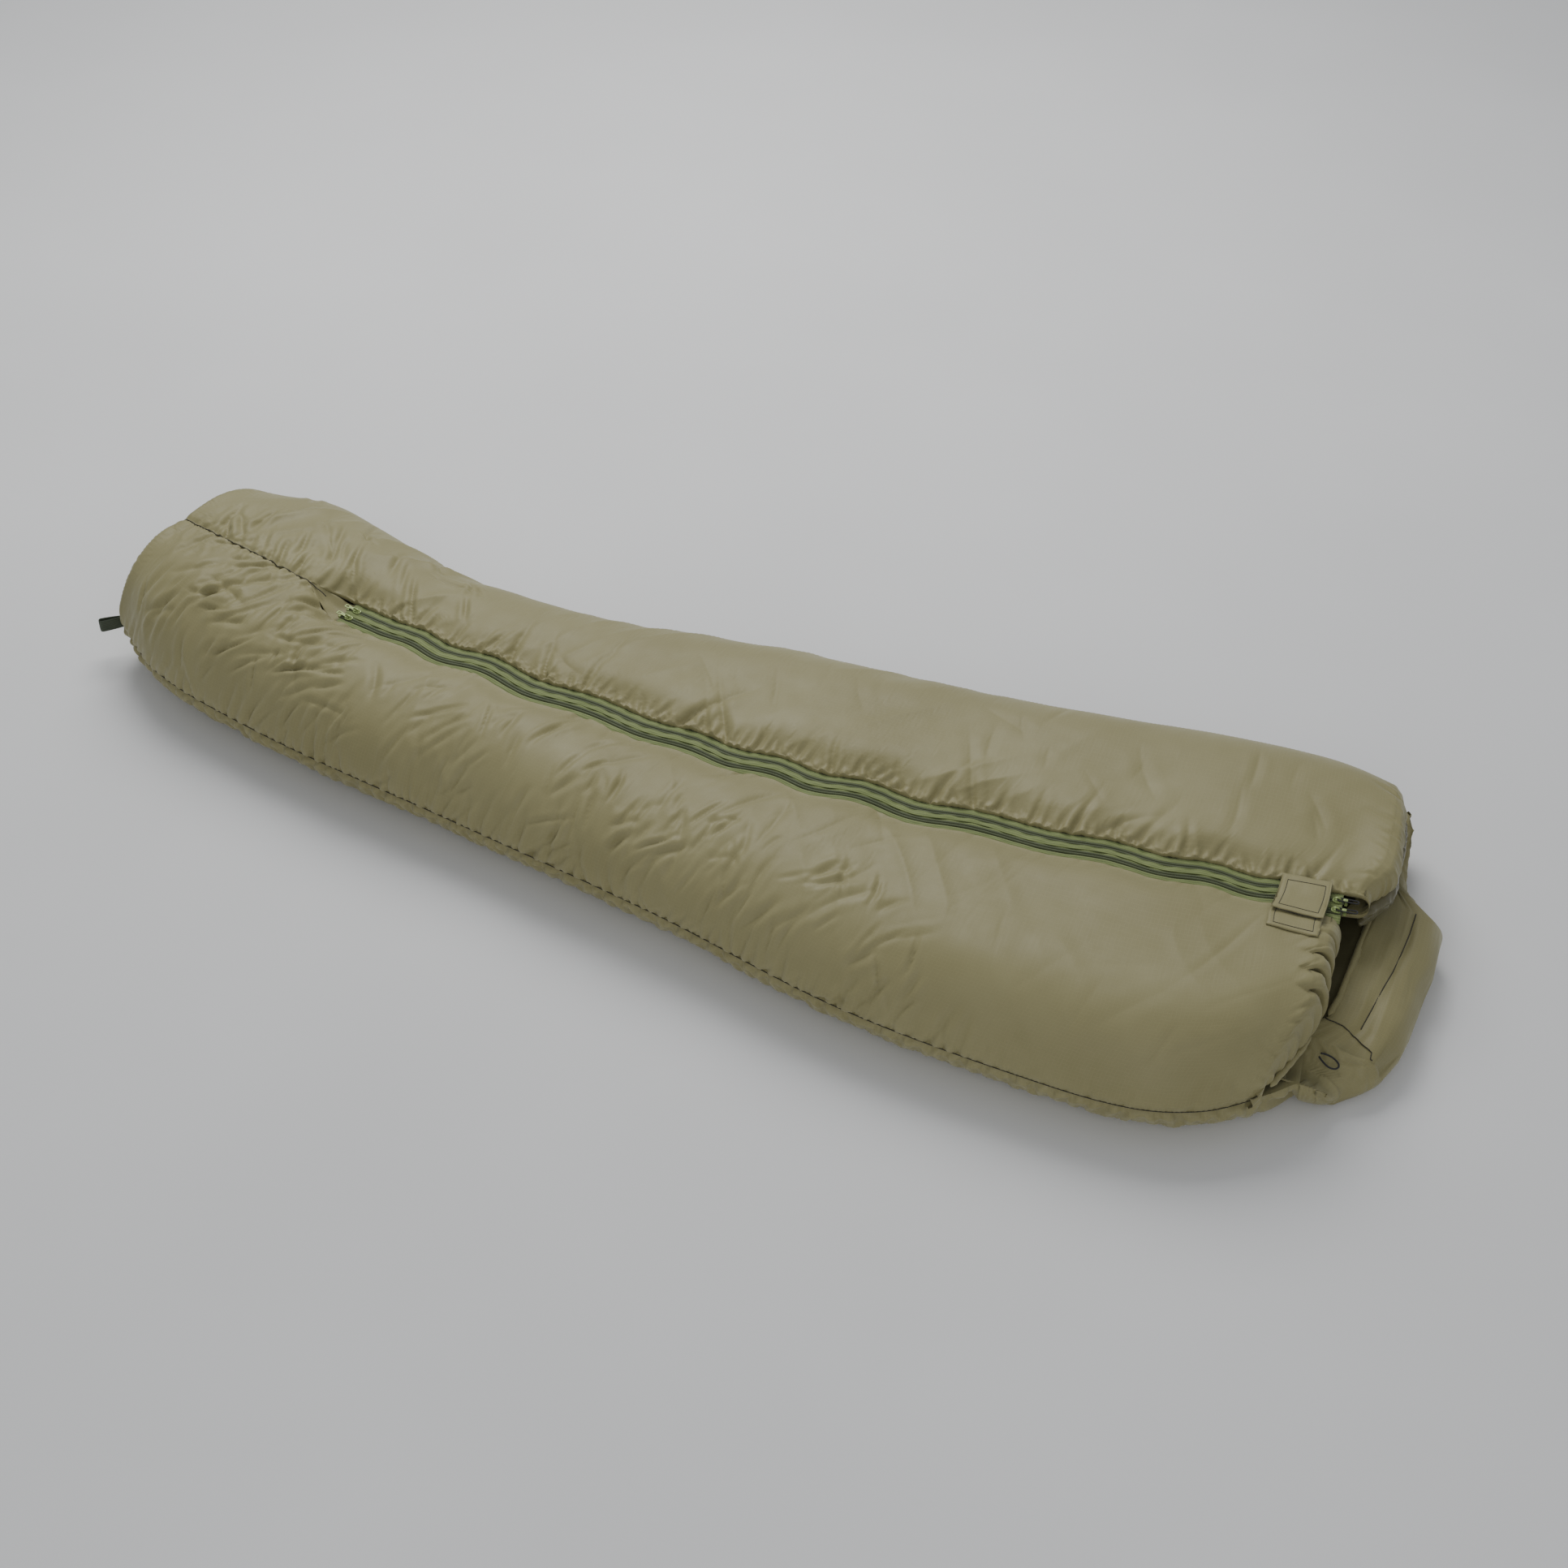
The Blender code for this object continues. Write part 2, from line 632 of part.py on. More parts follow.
def pull_mesh():
    """Flat metal pull: an outline with a window near its root, lying on its pin."""
    curve = bpy.data.curves.new("pull_outline", "CURVE")
    curve.dimensions = "2D"
    curve.fill_mode = "BOTH"
    curve.extrude = PULL_HALF_THICK
    half = PULL_HALF_WIDTH
    tip = [(PULL_BEND + half * math.sin(a), -half * math.cos(a)) for a in spread(6, 0.0, math.pi)]
    outer = [(PULL_ROOT, -half)] + tip + [(PULL_ROOT, half)]
    low, high, side = PULL_WINDOW
    window = [(low, -side), (high, -side), (high, side), (low, side)]
    for outline in (outer, window):
        spline = curve.splines.new("POLY")
        spline.points.add(len(outline) - 1)
        for point, (x, y) in zip(spline.points, outline):
            point.co = (x, y, 0.0, 1.0)
        spline.use_cyclic_u = True
    return curve


def welded_mesh(curve_object, name):
    """The mesh of a curve object, with its caps welded."""
    graph = bpy.context.evaluated_depsgraph_get()
    data = bpy.data.meshes.new_from_object(curve_object.evaluated_get(graph))
    mesh = bmesh.new()
    mesh.from_mesh(data)
    bmesh.ops.transform(mesh, matrix=curve_object.matrix_world, verts=mesh.verts)
    bpy.data.objects.remove(curve_object, do_unlink=True)
    return finish_mesh(mesh, name)


def tube(name, points, radius, material, group, cyclic=False, sides=2):
    """A round cord, rod or ring along world points."""
    curve = bpy.data.curves.new(name, "CURVE")
    curve.dimensions = "3D"
    curve.bevel_depth = radius
    curve.bevel_resolution = sides
    curve.use_fill_caps = not cyclic
    spline = curve.splines.new("POLY")
    spline.points.add(len(points) - 1)
    for point, p in zip(spline.points, points):
        point.co = (*p, 1.0)
    spline.use_cyclic_u = cyclic
    piece = bpy.data.objects.new(name, curve)
    piece.data.materials.append(material)
    group.objects.link(piece)
    return piece


def cord_pull_points():
    """A closed loop of stiff cord through the slider's bridge, as local points."""
    half, length = 0.0029, 0.030
    root = [(half - half * math.cos(a), half * math.sin(a)) for a in spread(7, -0.5 * math.pi, 0.5 * math.pi)]
    end = [(length - half + half * math.sin(a), half * math.cos(a)) for a in spread(7, 0.0, math.pi)]
    return root + end


def make_sliders(materials, group, cutters):
    body = slider_mesh(materials["slider"], cutters)
    centre = bpy.data.objects.new("zip_arc_centre", None)
    centre.location = ARC_CENTRE
    group.objects.link(centre)
    for name, s, n, at_head in (
        ("slider_a_head", HEAD_SLIDER, COIL_OFFSET, True),
        ("slider_b_head", HEAD_SLIDER, -COIL_OFFSET, True),
        ("slider_a_foot", FOOT_SLIDER, COIL_OFFSET, False),
        ("slider_b_foot", FOOT_SLIDER, -COIL_OFFSET, False),
    ):
        slider = bpy.data.objects.new(name, body)
        group.objects.link(slider)
        slider.parent = centre
        slider.matrix_parent_inverse = Matrix.Translation(-ARC_CENTRE)
        slider.matrix_basis = zip_frame(s, n, ZIP_HEIGHT)
        frame = zip_frame(s, n, ZIP_HEIGHT + PIN_HEIGHT, turned=not at_head)
        pull_name = name.replace("slider", "pull")
        if at_head:
            points = [frame @ Vector((x, y, 0.0)) for x, y in cord_pull_points()]
            tube(pull_name, points, CORD_PULL_RADIUS, materials["cord"], group, cyclic=True, sides=1)
        else:
            curve = bpy.data.objects.new(pull_name + "_outline", pull_mesh())
            group.objects.link(curve)
            curve.matrix_world = frame
            bpy.context.view_layer.update()
            add_object(pull_name, welded_mesh(curve, pull_name), materials["slider"], group,
                       place(s, n, ZIP_HEIGHT + PIN_HEIGHT))


def make_stops(material, group):
    """A small clamp at each end of each coil."""
    for end, s in (("bottom", COIL_START - STOP_GAP), ("top", COIL_END + STOP_GAP)):
        for zip_name, n in (("a", COIL_OFFSET), ("b", -COIL_OFFSET)):
            mesh = bmesh.new()
            matrix = zip_frame(s, n, ZIP_HEIGHT) @ Matrix.Diagonal((*STOP_SIZE, 1.0))
            bmesh.ops.create_cube(mesh, size=1.0, matrix=matrix)
            name = f"{end}_stop_{zip_name}"
            add_object(name, finish_mesh(mesh, name), material, group)


def make_gusset(material, group):
    """Small triangle of shell cloth set in where the seam opens into the zips."""
    top, bottom = ZIP_HEIGHT - 0.0050, ZIP_HEIGHT - 0.0058
    tip, open_end, half = -0.838, -0.7765, 0.020
    corners = ((tip, 0.0), (open_end, -half), (open_end, half))
    rings = [[place(s, n, z) for s, n in corners] for z in (top, bottom)]
    add_object("zip_gusset", finish_mesh(ring_loft(rings), "zip_gusset"), material, group)


def surface_patch(name, side, stations, offsets, lift, thick, material, group):
    """A flat piece sewn on the top, following it at the given lift."""
    rows = [[skin_point(s, side * n, side, top_height, 1) for n in offsets] for s in stations]
    outer = [[offset_point(p, -lift - thick) for p in row] for row in rows]
    inner = [[offset_point(p, -lift) for p in row] for row in rows]
    return add_object(name, finish_mesh(closed_wall(outer, inner), name), material, group)


def tab_hinge():
    """The middle of the tab's sewn end, which it turns about."""
    s = (TAB_FOOT + TAB_HEAD) / 2.0
    return place(s, TAB_HINGE_N, top_height(s, TAB_HINGE_N, 1) + TAB_LIFT + TAB_THICK / 2.0)


def make_closure(materials, group):
    """The tab that closes the collar over the zips, its hook strip, and the strip that it grips."""
    stations = spread(3, TAB_FOOT, TAB_HEAD)
    shell = materials["shell"]
    strip = materials["strip"]
    inset = spread(3, TAB_FOOT + STRIP_INSET, TAB_HEAD - STRIP_INSET)
    surface_patch("under_tab", -1, stations, UNDER_TAB_OFFSETS, UNDER_TAB_LIFT, TAB_THICK, shell, group)
    surface_patch("loop_strip", -1, inset, LOOP_OFFSETS, LOOP_LIFT, STRIP_THICK, strip, group)
    hook = surface_patch("hook_strip", -1, inset, HOOK_OFFSETS, HOOK_LIFT, STRIP_THICK, strip, group)
    s = stations[1]
    over_zips = ZIP_HEIGHT + TAB_CLEARANCE
    profile = (
        (-0.050, top_height(s, -0.050, -1) + TAB_OVER_STRIP),
        (-0.040, top_height(s, -0.040, -1) + TAB_OVER_STRIP),
        (-0.031, over_zips),
        (0.0, over_zips),
        (ZIP_EDGE, over_zips - TAB_SLOPE),
        (TAB_HINGE_N, top_height(s, TAB_HINGE_N, 1) + TAB_LIFT),
    )
    outer = [[place(row_s, n, z + TAB_THICK) for n, z in profile] for row_s in stations]
    inner = [[place(row_s, n, z) for n, z in profile] for row_s in stations]
    tab = finish_mesh(closed_wall(outer, inner), "closure_tab")
    add_object("closure_tab", tab, shell, group, tab_hinge())
    hook.data.transform(Matrix.Translation(-tab_hinge()))
    hook.location = tab_hinge()


def hollow_tube(name, path, outer, inner, sides, material, group):
    """A cloth channel that a cord runs through, as (s, n, z) points with open ends."""
    centres = [place(*p) for p in path]
    rings_out, rings_in = [], []
    for i, centre in enumerate(centres):
        way = (centres[min(i + 1, len(centres) - 1)] - centres[max(i - 1, 0)]).normalized()
        right = way.cross(Vector((0, 0, 1))).normalized()
        up = right.cross(way)
        for radius, rings in ((outer, rings_out), (inner, rings_in)):
            angles = [2.0 * math.pi * k / sides for k in range(sides)]
            rings.append([centre + radius * (right * math.cos(a) + up * math.sin(a)) for a in angles])
    mesh = ring_loft(rings_out + rings_in[::-1], cap=False)
    return add_object(name, finish_mesh(mesh, name), material, group)


def collar_path(side, low_n, high_n, count, end):
    """Just beyond a collar's edge, a little below the top of the quilt."""
    return [(end(n) + COLLAR_BEYOND, side * n, top_height(end(n), side * n, side) - COLLAR_BELOW)
            for n in spread(count, low_n, high_n)]


def make_collars(materials, group):
    """Hem channels of both collars, each with its elastic cord."""
    shell, cord = materials["shell"], materials["cord"]
    near = collar_path(-1, COLLAR_START, NEAR_COLLAR_REACH, 6, near_end)
    far = collar_path(1, COLLAR_START, FAR_COLLAR_REACH, 8, far_end)
    for name, path in (("near_collar", near), ("far_collar", far)):
        hollow_tube(f"{name}_hem", path, CHANNEL_OUTER, CHANNEL_INNER, 6, shell, group)
        tube(f"{name}_elastic", [place(*p) for p in path], CORD_RADIUS, cord, group, sides=1)


def hood_height(y):
    return through(HOOD_HEIGHTS, y)


def hood_section(y):
    """The hood's skin at one y: out on the ground, round its edge and back to the rim, with normals in x and z."""
    high = hood_height(y)
    radius = high / 2.0
    out = through(HOOD_OUTLINE, y) - radius
    points = [((HOOD_START, 0.0), (0.0, -1.0))]
    for angle in spread(6, -0.5 * math.pi, 0.5 * math.pi):
        normal = (math.cos(angle), math.sin(angle))
        points.append(((out + radius * normal[0], radius + radius * normal[1]), normal))
    points.append(((HOOD_RIM, high), (0.0, 1.0)))
    return points


def make_hood(materials, group, hinge):
    for layer, *faces in LAYERS:
        grids = []
        for share, length in faces:
            grid = []
            for y in spread(9, HOOD_NEAR, HOOD_FAR):
                inset = (share * HOOD_WALL + length) * min(1.0, hood_height(y) / HOOD_FULL_HEIGHT)
                section = hood_section(y)
                grid.append([Vector((x - nx * inset, y, z - nz * inset)) for (x, z), (nx, nz) in section])
            grids.append(grid)
        name = f"hood_{layer}"
        add_object(name, finish_mesh(closed_wall(*grids), name), materials[layer], group, hinge)


def make_hood_rim(materials, group):
    """The rim channel along the hood's mouth, with its drawcord."""
    path = [Vector((HOOD_RIM - RIM_BACK, y, hood_height(y) - RIM_BELOW)) for y in spread(8, RIM_NEAR, RIM_FAR)]
    rings_out, rings_in = [], []
    for centre in path:
        for radius, rings in ((CHANNEL_OUTER, rings_out), (CHANNEL_INNER, rings_in)):
            angles = [2.0 * math.pi * k / 6 for k in range(6)]
            rings.append([centre + Vector((radius * math.cos(a), 0.0, radius * math.sin(a))) for a in angles])
    mesh = ring_loft(rings_out + rings_in[::-1], cap=False)
    add_object("hood_rim_channel", finish_mesh(mesh, "hood_rim_channel"), materials["shell"], group)
    tube("hood_drawcord", path, CORD_RADIUS, materials["cord"], group, sides=1)


def make_hang_loop(material, group):
    """Folded webbing loop sewn in at the near corner of the foot."""
    length, gap, thick, width = 0.040, 0.0070, 0.0014, 0.022
    outer_radius = gap / 2.0 + thick
    inner_radius = gap / 2.0
    bend = length - outer_radius
    outer = [(bend + outer_radius * math.sin(a), -outer_radius * math.cos(a)) for a in spread(8, 0.0, math.pi)]
    inner = [(bend + inner_radius * math.sin(a), -inner_radius * math.cos(a)) for a in spread(8, math.pi, 0.0)]
    outline = [(0.0, -outer_radius)] + outer + [(0.0, outer_radius), (0.0, inner_radius)] + inner
    outline += [(0.0, -inner_radius)]
    curve = bpy.data.curves.new("loop_outline", "CURVE")
    curve.dimensions = "2D"
    curve.fill_mode = "BOTH"
    curve.extrude = width / 2.0
    spline = curve.splines.new("POLY")
    spline.points.add(len(outline) - 1)
    for point, (x, y) in zip(spline.points, outline):
        point.co = (x, y, 0.0, 1.0)
    spline.use_cyclic_u = True
    piece = bpy.data.objects.new("foot_loop_outline", curve)
    group.objects.link(piece)
    side = Vector((0, 0, 1)).cross(LOOP_WAY)
    frame = Matrix((LOOP_WAY, side, Vector((0, 0, 1)))).transposed().to_4x4()
    frame.translation = place(*LOOP_ROOT)
    piece.matrix_world = frame
    bpy.context.view_layer.update()
    add_object("foot_hang_loop", welded_mesh(piece, "foot_hang_loop"), material, group, place(*LOOP_ROOT))


def make_cord_loop(material, group):
    """The end of the hood's drawcord: a loop that hangs out at the rim's near end."""
    tube("hood_cord_loop", [Vector(p) for p in CORD_LOOP_ROUTE], CORD_RADIUS, material, group)


def build():
    clear_scene()
    group = make_collection(BAG)
    cutters = make_collection(CUTTERS)
    olive = (0.290, 0.265, 0.150)
    materials = {
        "shell": make_material("olive_nylon", olive, 0.45),
        "fill": make_material("white_filling", (0.80, 0.80, 0.78), 0.95),
        "lining": make_material("dark_olive_lining", (0.16, 0.15, 0.09), 0.40),
        "tape": make_material("green_zip_tape", (0.215, 0.290, 0.105), 0.75),
        "coil": make_material("dark_green_coil", (0.095, 0.140, 0.055), 0.45),
        "slider": make_material("light_green_slider", (0.300, 0.400, 0.150), 0.35, 0.3),
        "strip": make_material("hook_and_loop", (0.14, 0.13, 0.08), 0.95),
        "cord": make_material("black_cord", (0.012, 0.012, 0.012), 0.55),
        "webbing": make_material("dark_green_webbing", (0.030, 0.040, 0.024), 0.80),
    }
    fold_hinge = (place(*FOLD_FOOT, FOLD_HEIGHT) + place(*FOLD_HEAD, FOLD_HEIGHT)) / 2.0
    quilted("base", base_rows(), materials, group)
    quilted("near_top", near_rows(), materials, group)
    quilted("far_side", far_rows(), materials, group)
    quilted("far_flap", flap_rows(), materials, group, fold_hinge)
    make_foot_end(materials, group)
    make_zips(materials, group, fold_hinge)
    make_draft_tube(materials["lining"], group)
    make_sliders(materials, group, cutters)
    make_stops(materials["slider"], group)
    make_gusset(materials["lining"], group)
    make_closure(materials, group)
    make_collars(materials, group)
    make_hood(materials, group, HOOD_HINGE)
    make_hood_rim(materials, group)
    make_hang_loop(materials["webbing"], group)
    make_cord_loop(materials["cord"], group)
    for piece in group.objects:
        if piece.parent is None:
            piece.location += CENTRING
    for piece in cutters.objects:
        piece.hide_render = True
        piece.display_type = "WIRE"


build()
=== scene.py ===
"""Looks of a padded mummy sleeping bag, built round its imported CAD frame.

A place on the bag is (s, n, z): s runs along the zips' arc from foot to head, n square to it towards the far
side, z up. Lengths are in metres.
"""

import math  # noqa: E402

import bmesh  # noqa: E402
import bpy  # noqa: E402
import numpy as np  # noqa: E402
from mathutils import Matrix, Vector  # noqa: E402


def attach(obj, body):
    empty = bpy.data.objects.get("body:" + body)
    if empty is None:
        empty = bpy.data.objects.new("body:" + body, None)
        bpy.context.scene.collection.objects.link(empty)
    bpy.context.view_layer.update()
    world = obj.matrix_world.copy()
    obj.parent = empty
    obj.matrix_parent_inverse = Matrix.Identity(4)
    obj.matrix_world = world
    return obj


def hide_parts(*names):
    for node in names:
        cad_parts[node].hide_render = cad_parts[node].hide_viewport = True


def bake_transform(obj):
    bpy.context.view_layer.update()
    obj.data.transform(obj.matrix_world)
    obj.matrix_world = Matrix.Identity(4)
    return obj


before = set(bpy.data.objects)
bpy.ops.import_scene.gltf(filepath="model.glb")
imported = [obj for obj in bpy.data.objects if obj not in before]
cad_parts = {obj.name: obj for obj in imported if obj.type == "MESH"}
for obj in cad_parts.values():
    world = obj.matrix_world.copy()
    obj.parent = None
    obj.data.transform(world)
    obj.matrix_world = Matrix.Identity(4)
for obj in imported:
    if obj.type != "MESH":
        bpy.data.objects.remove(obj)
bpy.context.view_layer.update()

# Where the bag lies: the shift that centres its box, and the centre and radius of the zips' arc.
CENTRING = np.array((-0.0081, 0.0137, 0.0))
ZIP_RADIUS = 5.26
ARC_X, ARC_Y = 0.11 + CENTRING[0], 5.20 + CENTRING[1]

# Stations along the zips: the end panel's seam, where the foot seam opens, the collars and the neck.
FOOT_END, FOOT_DEPTH = -1.12, 0.021
SEAM_END, GUSSET_END = -0.85, -0.775
NEAR_COLLAR, FAR_COLLAR, NECK_X = 0.862, 0.922, 0.998

# The cross section: side seam, roundness of the sides, and the valley in which the zips lie.
SEAM_HEIGHT, SIDE_ARC, BASE_ARC = 0.075, 0.14, 0.07
EDGE_HEIGHT, VALLEY_WIDTH, ZIP_EDGE, SEAM_GAP = 0.168, 0.030, 0.028, 0.001
ZIP_HEIGHT, ZIP_OFFSET, SEAM_LEVEL = 0.163, 0.010, 0.197

# Thickness of the quilt, and how thin and how far in it is sewn down at the zips.
WALL, SEWN_SHARE, SEWN_WIDTH = 0.037, 0.22, 0.070
FOLD_FOOT, FOLD_HEAD = (-0.74, 0.030), (0.924, 0.300)

# Half widths and height of the bag, as (station, size), with a smooth curve through them.
NEAR_WIDTHS = (
    (-1.12, 0.168), (-1.0, 0.216), (-0.8, 0.232), (-0.4, 0.240), (-0.05, 0.272),
    (0.25, 0.335), (0.5, 0.366), (0.65, 0.374), (0.74, 0.350), (0.81, 0.300), (0.86, 0.256), (0.93, 0.212),
)
FAR_WIDTHS = (
    (-1.12, 0.200), (-1.0, 0.245), (-0.9, 0.243), (-0.67, 0.230), (-0.45, 0.250), (-0.06, 0.325),
    (0.25, 0.348), (0.65, 0.378), (0.78, 0.378), (0.87, 0.362), (0.93, 0.325),
)
CREST_HEIGHTS = ((-1.12, 0.208), (-0.95, 0.208), (-0.6, 0.188), (0.0, 0.186), (0.6, 0.190), (0.9, 0.182))

# The hood: its outer edge and height as (y, size), and its two seams as (y, x) and (x, y).
HOOD_OUTLINE = ((-0.200, 1.050), (-0.185, 1.078), (-0.12, 1.104), (0.02, 1.110), (0.126, 1.104),
                (0.150, 1.082), (0.205, 1.036))
HOOD_HEIGHTS = ((-0.200, 0.050), (-0.12, 0.074), (0.0, 0.080), (0.12, 0.080), (0.205, 0.062))
HOOD_NEAR, HOOD_FAR, HOOD_RIM = -0.198, 0.205, 1.008
HOOD_TUCK, BAFFLE, HOOD_FLARE, HOOD_POWER = 0.050, 0.050, 0.040, 0.55
HOOD_CROSS = ((-0.126, 1.0434), (-0.063, 1.0523), (0.019, 1.0610), (0.082, 1.0630), (0.147, 1.0594))
HOOD_GORE = ((0.993, -0.1176), (1.018, -0.1206), (1.044, -0.1287), (1.068, -0.1406), (1.091, -0.154))

# Ends of the zips' chains, and where the sliders rest.
COIL_START, COIL_END = -0.770, 0.868
HEAD_SLIDER, FOOT_SLIDER = 0.858, -0.755

# How the cloth is drawn in at its seams, the near collar's set back, and slack left for the filling's push.
SEAM_DENT, SEAM_DIP, NEAR_ROLL, SLACK = 0.006, 0.004, 0.016, 0.004

# The foot's end, rounded off inside its seam.
DOME_SEAM, DOME_POWER, DOME_MIDDLE = 0.90, 0.38, (0.010, 0.085)

# The base goes on to the neck, at about this station, and its near edge is tucked in from this one.
BASE_END, TUCK_START, TUCK_WIDTH = 0.86, 0.765, 0.085

# The free end of the hood's drawcord, and the webbing loop sewn into the foot.
CORD_ROUTE = (
    (1.0075, -0.186, 0.0700), (1.014, -0.1905, 0.0675), (1.024, -0.194, 0.0640), (1.032, -0.192, 0.0620),
    (1.036, -0.186, 0.0615), (1.034, -0.180, 0.0620), (1.026, -0.1765, 0.0650), (1.016, -0.177, 0.0685),
    (1.0085, -0.180, 0.0710),
)
CORD_DIAMETER = 0.0026
LOOP_ROOT, SEWN_IN = (-1.1530, -0.1420, 0.062), 0.018
LOOP_WAY = Vector((-0.72, -0.69, 0.0)).normalized()

# Sewing thread, the places of a chain and of its two halves, and the tapes.
THREAD, TAB_THREAD, TAB_STITCH = 0.0009, 0.0005, 0.003
CHAIN_MIDDLE, CHAIN_HALF, TAPE_THICK, TAPE_GAP = 0.0105, 0.0024, 0.0007, 0.0004

# The cloth solver: threads as (rows on, columns on, share), ease of the long ones, filling's push, damping.
LINKS = ((1, 0, 0.30), (0, 1, 0.30), (1, 1, 0.12), (1, -1, 0.12), (3, 0, 0.10), (0, 3, 0.10))
STIFF_EASE, PRESSURE, KEPT_SPEED = 0.985, 0.00002, 0.86

# Spacing of the cloth's grid, its columns, and the solver's steps.
ROW_STEP = 0.0033
TOP_COLUMNS, SIDE_COLUMNS = ((140, 62))
BASE_COLUMNS, BASE_FLAT = ((34, 7))
HOOD_STEPS = 30
TOP_TURNS, BASE_TURNS, HOOD_TURNS = ((260, 180, 160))

CAMERA_TARGET = (0.125, -0.018, 0.1)
CAMERA_AZIMUTH, CAMERA_ELEVATION, CAMERA_DISTANCE, LENS = 24.8, 42.0, 3.64, 55.0
KEY_POWER, FILL_POWER, SKY_POWER = 112, 40, 0.35

# Light and dark tone of each material.
SHELL_TONES = (0.300, 0.273, 0.134), (0.258, 0.232, 0.106)
LINING_TONES = (0.150, 0.138, 0.070), (0.100, 0.091, 0.044)
TAPE_TONES = (0.250, 0.300, 0.098), (0.120, 0.155, 0.046)
COIL_TONES = (0.088, 0.106, 0.042), (0.056, 0.070, 0.026)
SLIDER_TONES = (0.340, 0.420, 0.150), (0.200, 0.255, 0.085)
PILE_TONES = (0.15, 0.14, 0.085), (0.07, 0.065, 0.038)
CORD_TONES = (0.022, 0.022, 0.022), (0.006, 0.006, 0.006)
WEBBING_TONES = (0.075, 0.095, 0.055), (0.030, 0.040, 0.022)
THREAD_TONES = (0.040, 0.036, 0.018), (0.018, 0.016, 0.008)

UP = np.array((0.0, 0.0, 1.0))


# ---------------------------------------------------------------- shape of the bag


def smooth(x, start, end):
    """Rises smoothly from 0 at start to 1 at end."""
    t = np.clip((np.asarray(x, float) - start) / (end - start), 0.0, 1.0)
    return t * t * (3.0 - 2.0 * t)


def through(knots, x):
    """Smooth curve through the knots, level beyond its ends."""
    xs, ys = np.array(knots).T
    slopes = np.empty(len(xs))
    slopes[1:-1] = (ys[2:] - ys[:-2]) / (xs[2:] - xs[:-2])
    slopes[0] = (ys[1] - ys[0]) / (xs[1] - xs[0])
    slopes[-1] = (ys[-1] - ys[-2]) / (xs[-1] - xs[-2])
    x = np.clip(np.asarray(x, float), xs[0], xs[-1])
    i = np.clip(np.searchsorted(xs, x, side="right") - 1, 0, len(xs) - 2)
    span = xs[i + 1] - xs[i]
    t = (x - xs[i]) / span
    rise = t * t * (3.0 - 2.0 * t)
    ends = slopes[i] * t * (1 - t) ** 2 - slopes[i + 1] * t * t * (1 - t)
    return ys[i] + (ys[i + 1] - ys[i]) * rise + span * ends


def place(s, n, z):
    """World positions, as an array with a last axis of 3."""
    s, n, z = np.broadcast_arrays(np.asarray(s, float), np.asarray(n, float), np.asarray(z, float))
    reach = ZIP_RADIUS - n
    return np.stack((ARC_X + reach * np.sin(s / ZIP_RADIUS), ARC_Y - reach * np.cos(s / ZIP_RADIUS), z), -1)


def along(s):
    """Direction towards the head at station s."""
    return Vector((math.cos(s / ZIP_RADIUS), math.sin(s / ZIP_RADIUS), 0.0))


def across(s):
    """Direction towards the far side at station s."""
    return Vector((-math.sin(s / ZIP_RADIUS), math.cos(s / ZIP_RADIUS), 0.0))


def half_width(s, side):
    return through(FAR_WIDTHS if side > 0 else NEAR_WIDTHS, s)


def edge(s):
    """Offset of each half's inner edge: at the closed seam, then clear of the zips."""
    return SEAM_GAP + (ZIP_EDGE - SEAM_GAP) * smooth(s, SEAM_END, GUSSET_END)


def noise(u, v, cell_u, cell_v, seed):
    """Smooth random field from -1 to 1, the same each run."""
    grid = np.random.default_rng(seed).uniform(-1.0, 1.0, (256, 256))
    x, y = np.asarray(u, float) / cell_u + 1000.37, np.asarray(v, float) / cell_v + 1000.73
    i, j = np.floor(x).astype(int), np.floor(y).astype(int)
    fx, fy = x - i, y - j
    fx, fy = fx ** 3 * (fx * (6 * fx - 15) + 10), fy ** 3 * (fy * (6 * fy - 15) + 10)

    def corner(a, b):
        return grid[(i + a) % 256, (j + b) % 256]

    low = corner(0, 0) * (1 - fx) + corner(1, 0) * fx
    high = corner(0, 1) * (1 - fx) + corner(1, 1) * fx
    return low * (1 - fy) + high * fy


def sway(s):
    """How far the soft zips wander sideways and up at station s: nothing where the sliders rest or stop."""
    hold = smooth(s, -0.72, -0.60) * (1.0 - smooth(s, 0.76, 0.85))
    wave = np.sin(2 * np.pi * (s + 0.02 * np.sin(9.0 * s)) / 0.163 + 0.6)
    side = hold * (0.0056 * wave + 0.0030 * noise(s, 0.0, 0.21, 1.0, 5) + 0.006 * smooth(s, 0.25, 0.5))
    up = hold * (0.0022 * np.cos(2 * np.pi * s / 0.163 + 1.3) + 0.0012 * noise(s, 0.0, 0.12, 1.0, 6))
    return side, up


# ---------------------------------------------------------------- cloth solver


def normals(grid):
    """Unit normals of a grid of points, from its neighbours."""
    n = np.cross(np.gradient(grid, axis=0), np.gradient(grid, axis=1))
    return n / np.maximum(np.linalg.norm(n, axis=-1, keepdims=True), 1e-12)


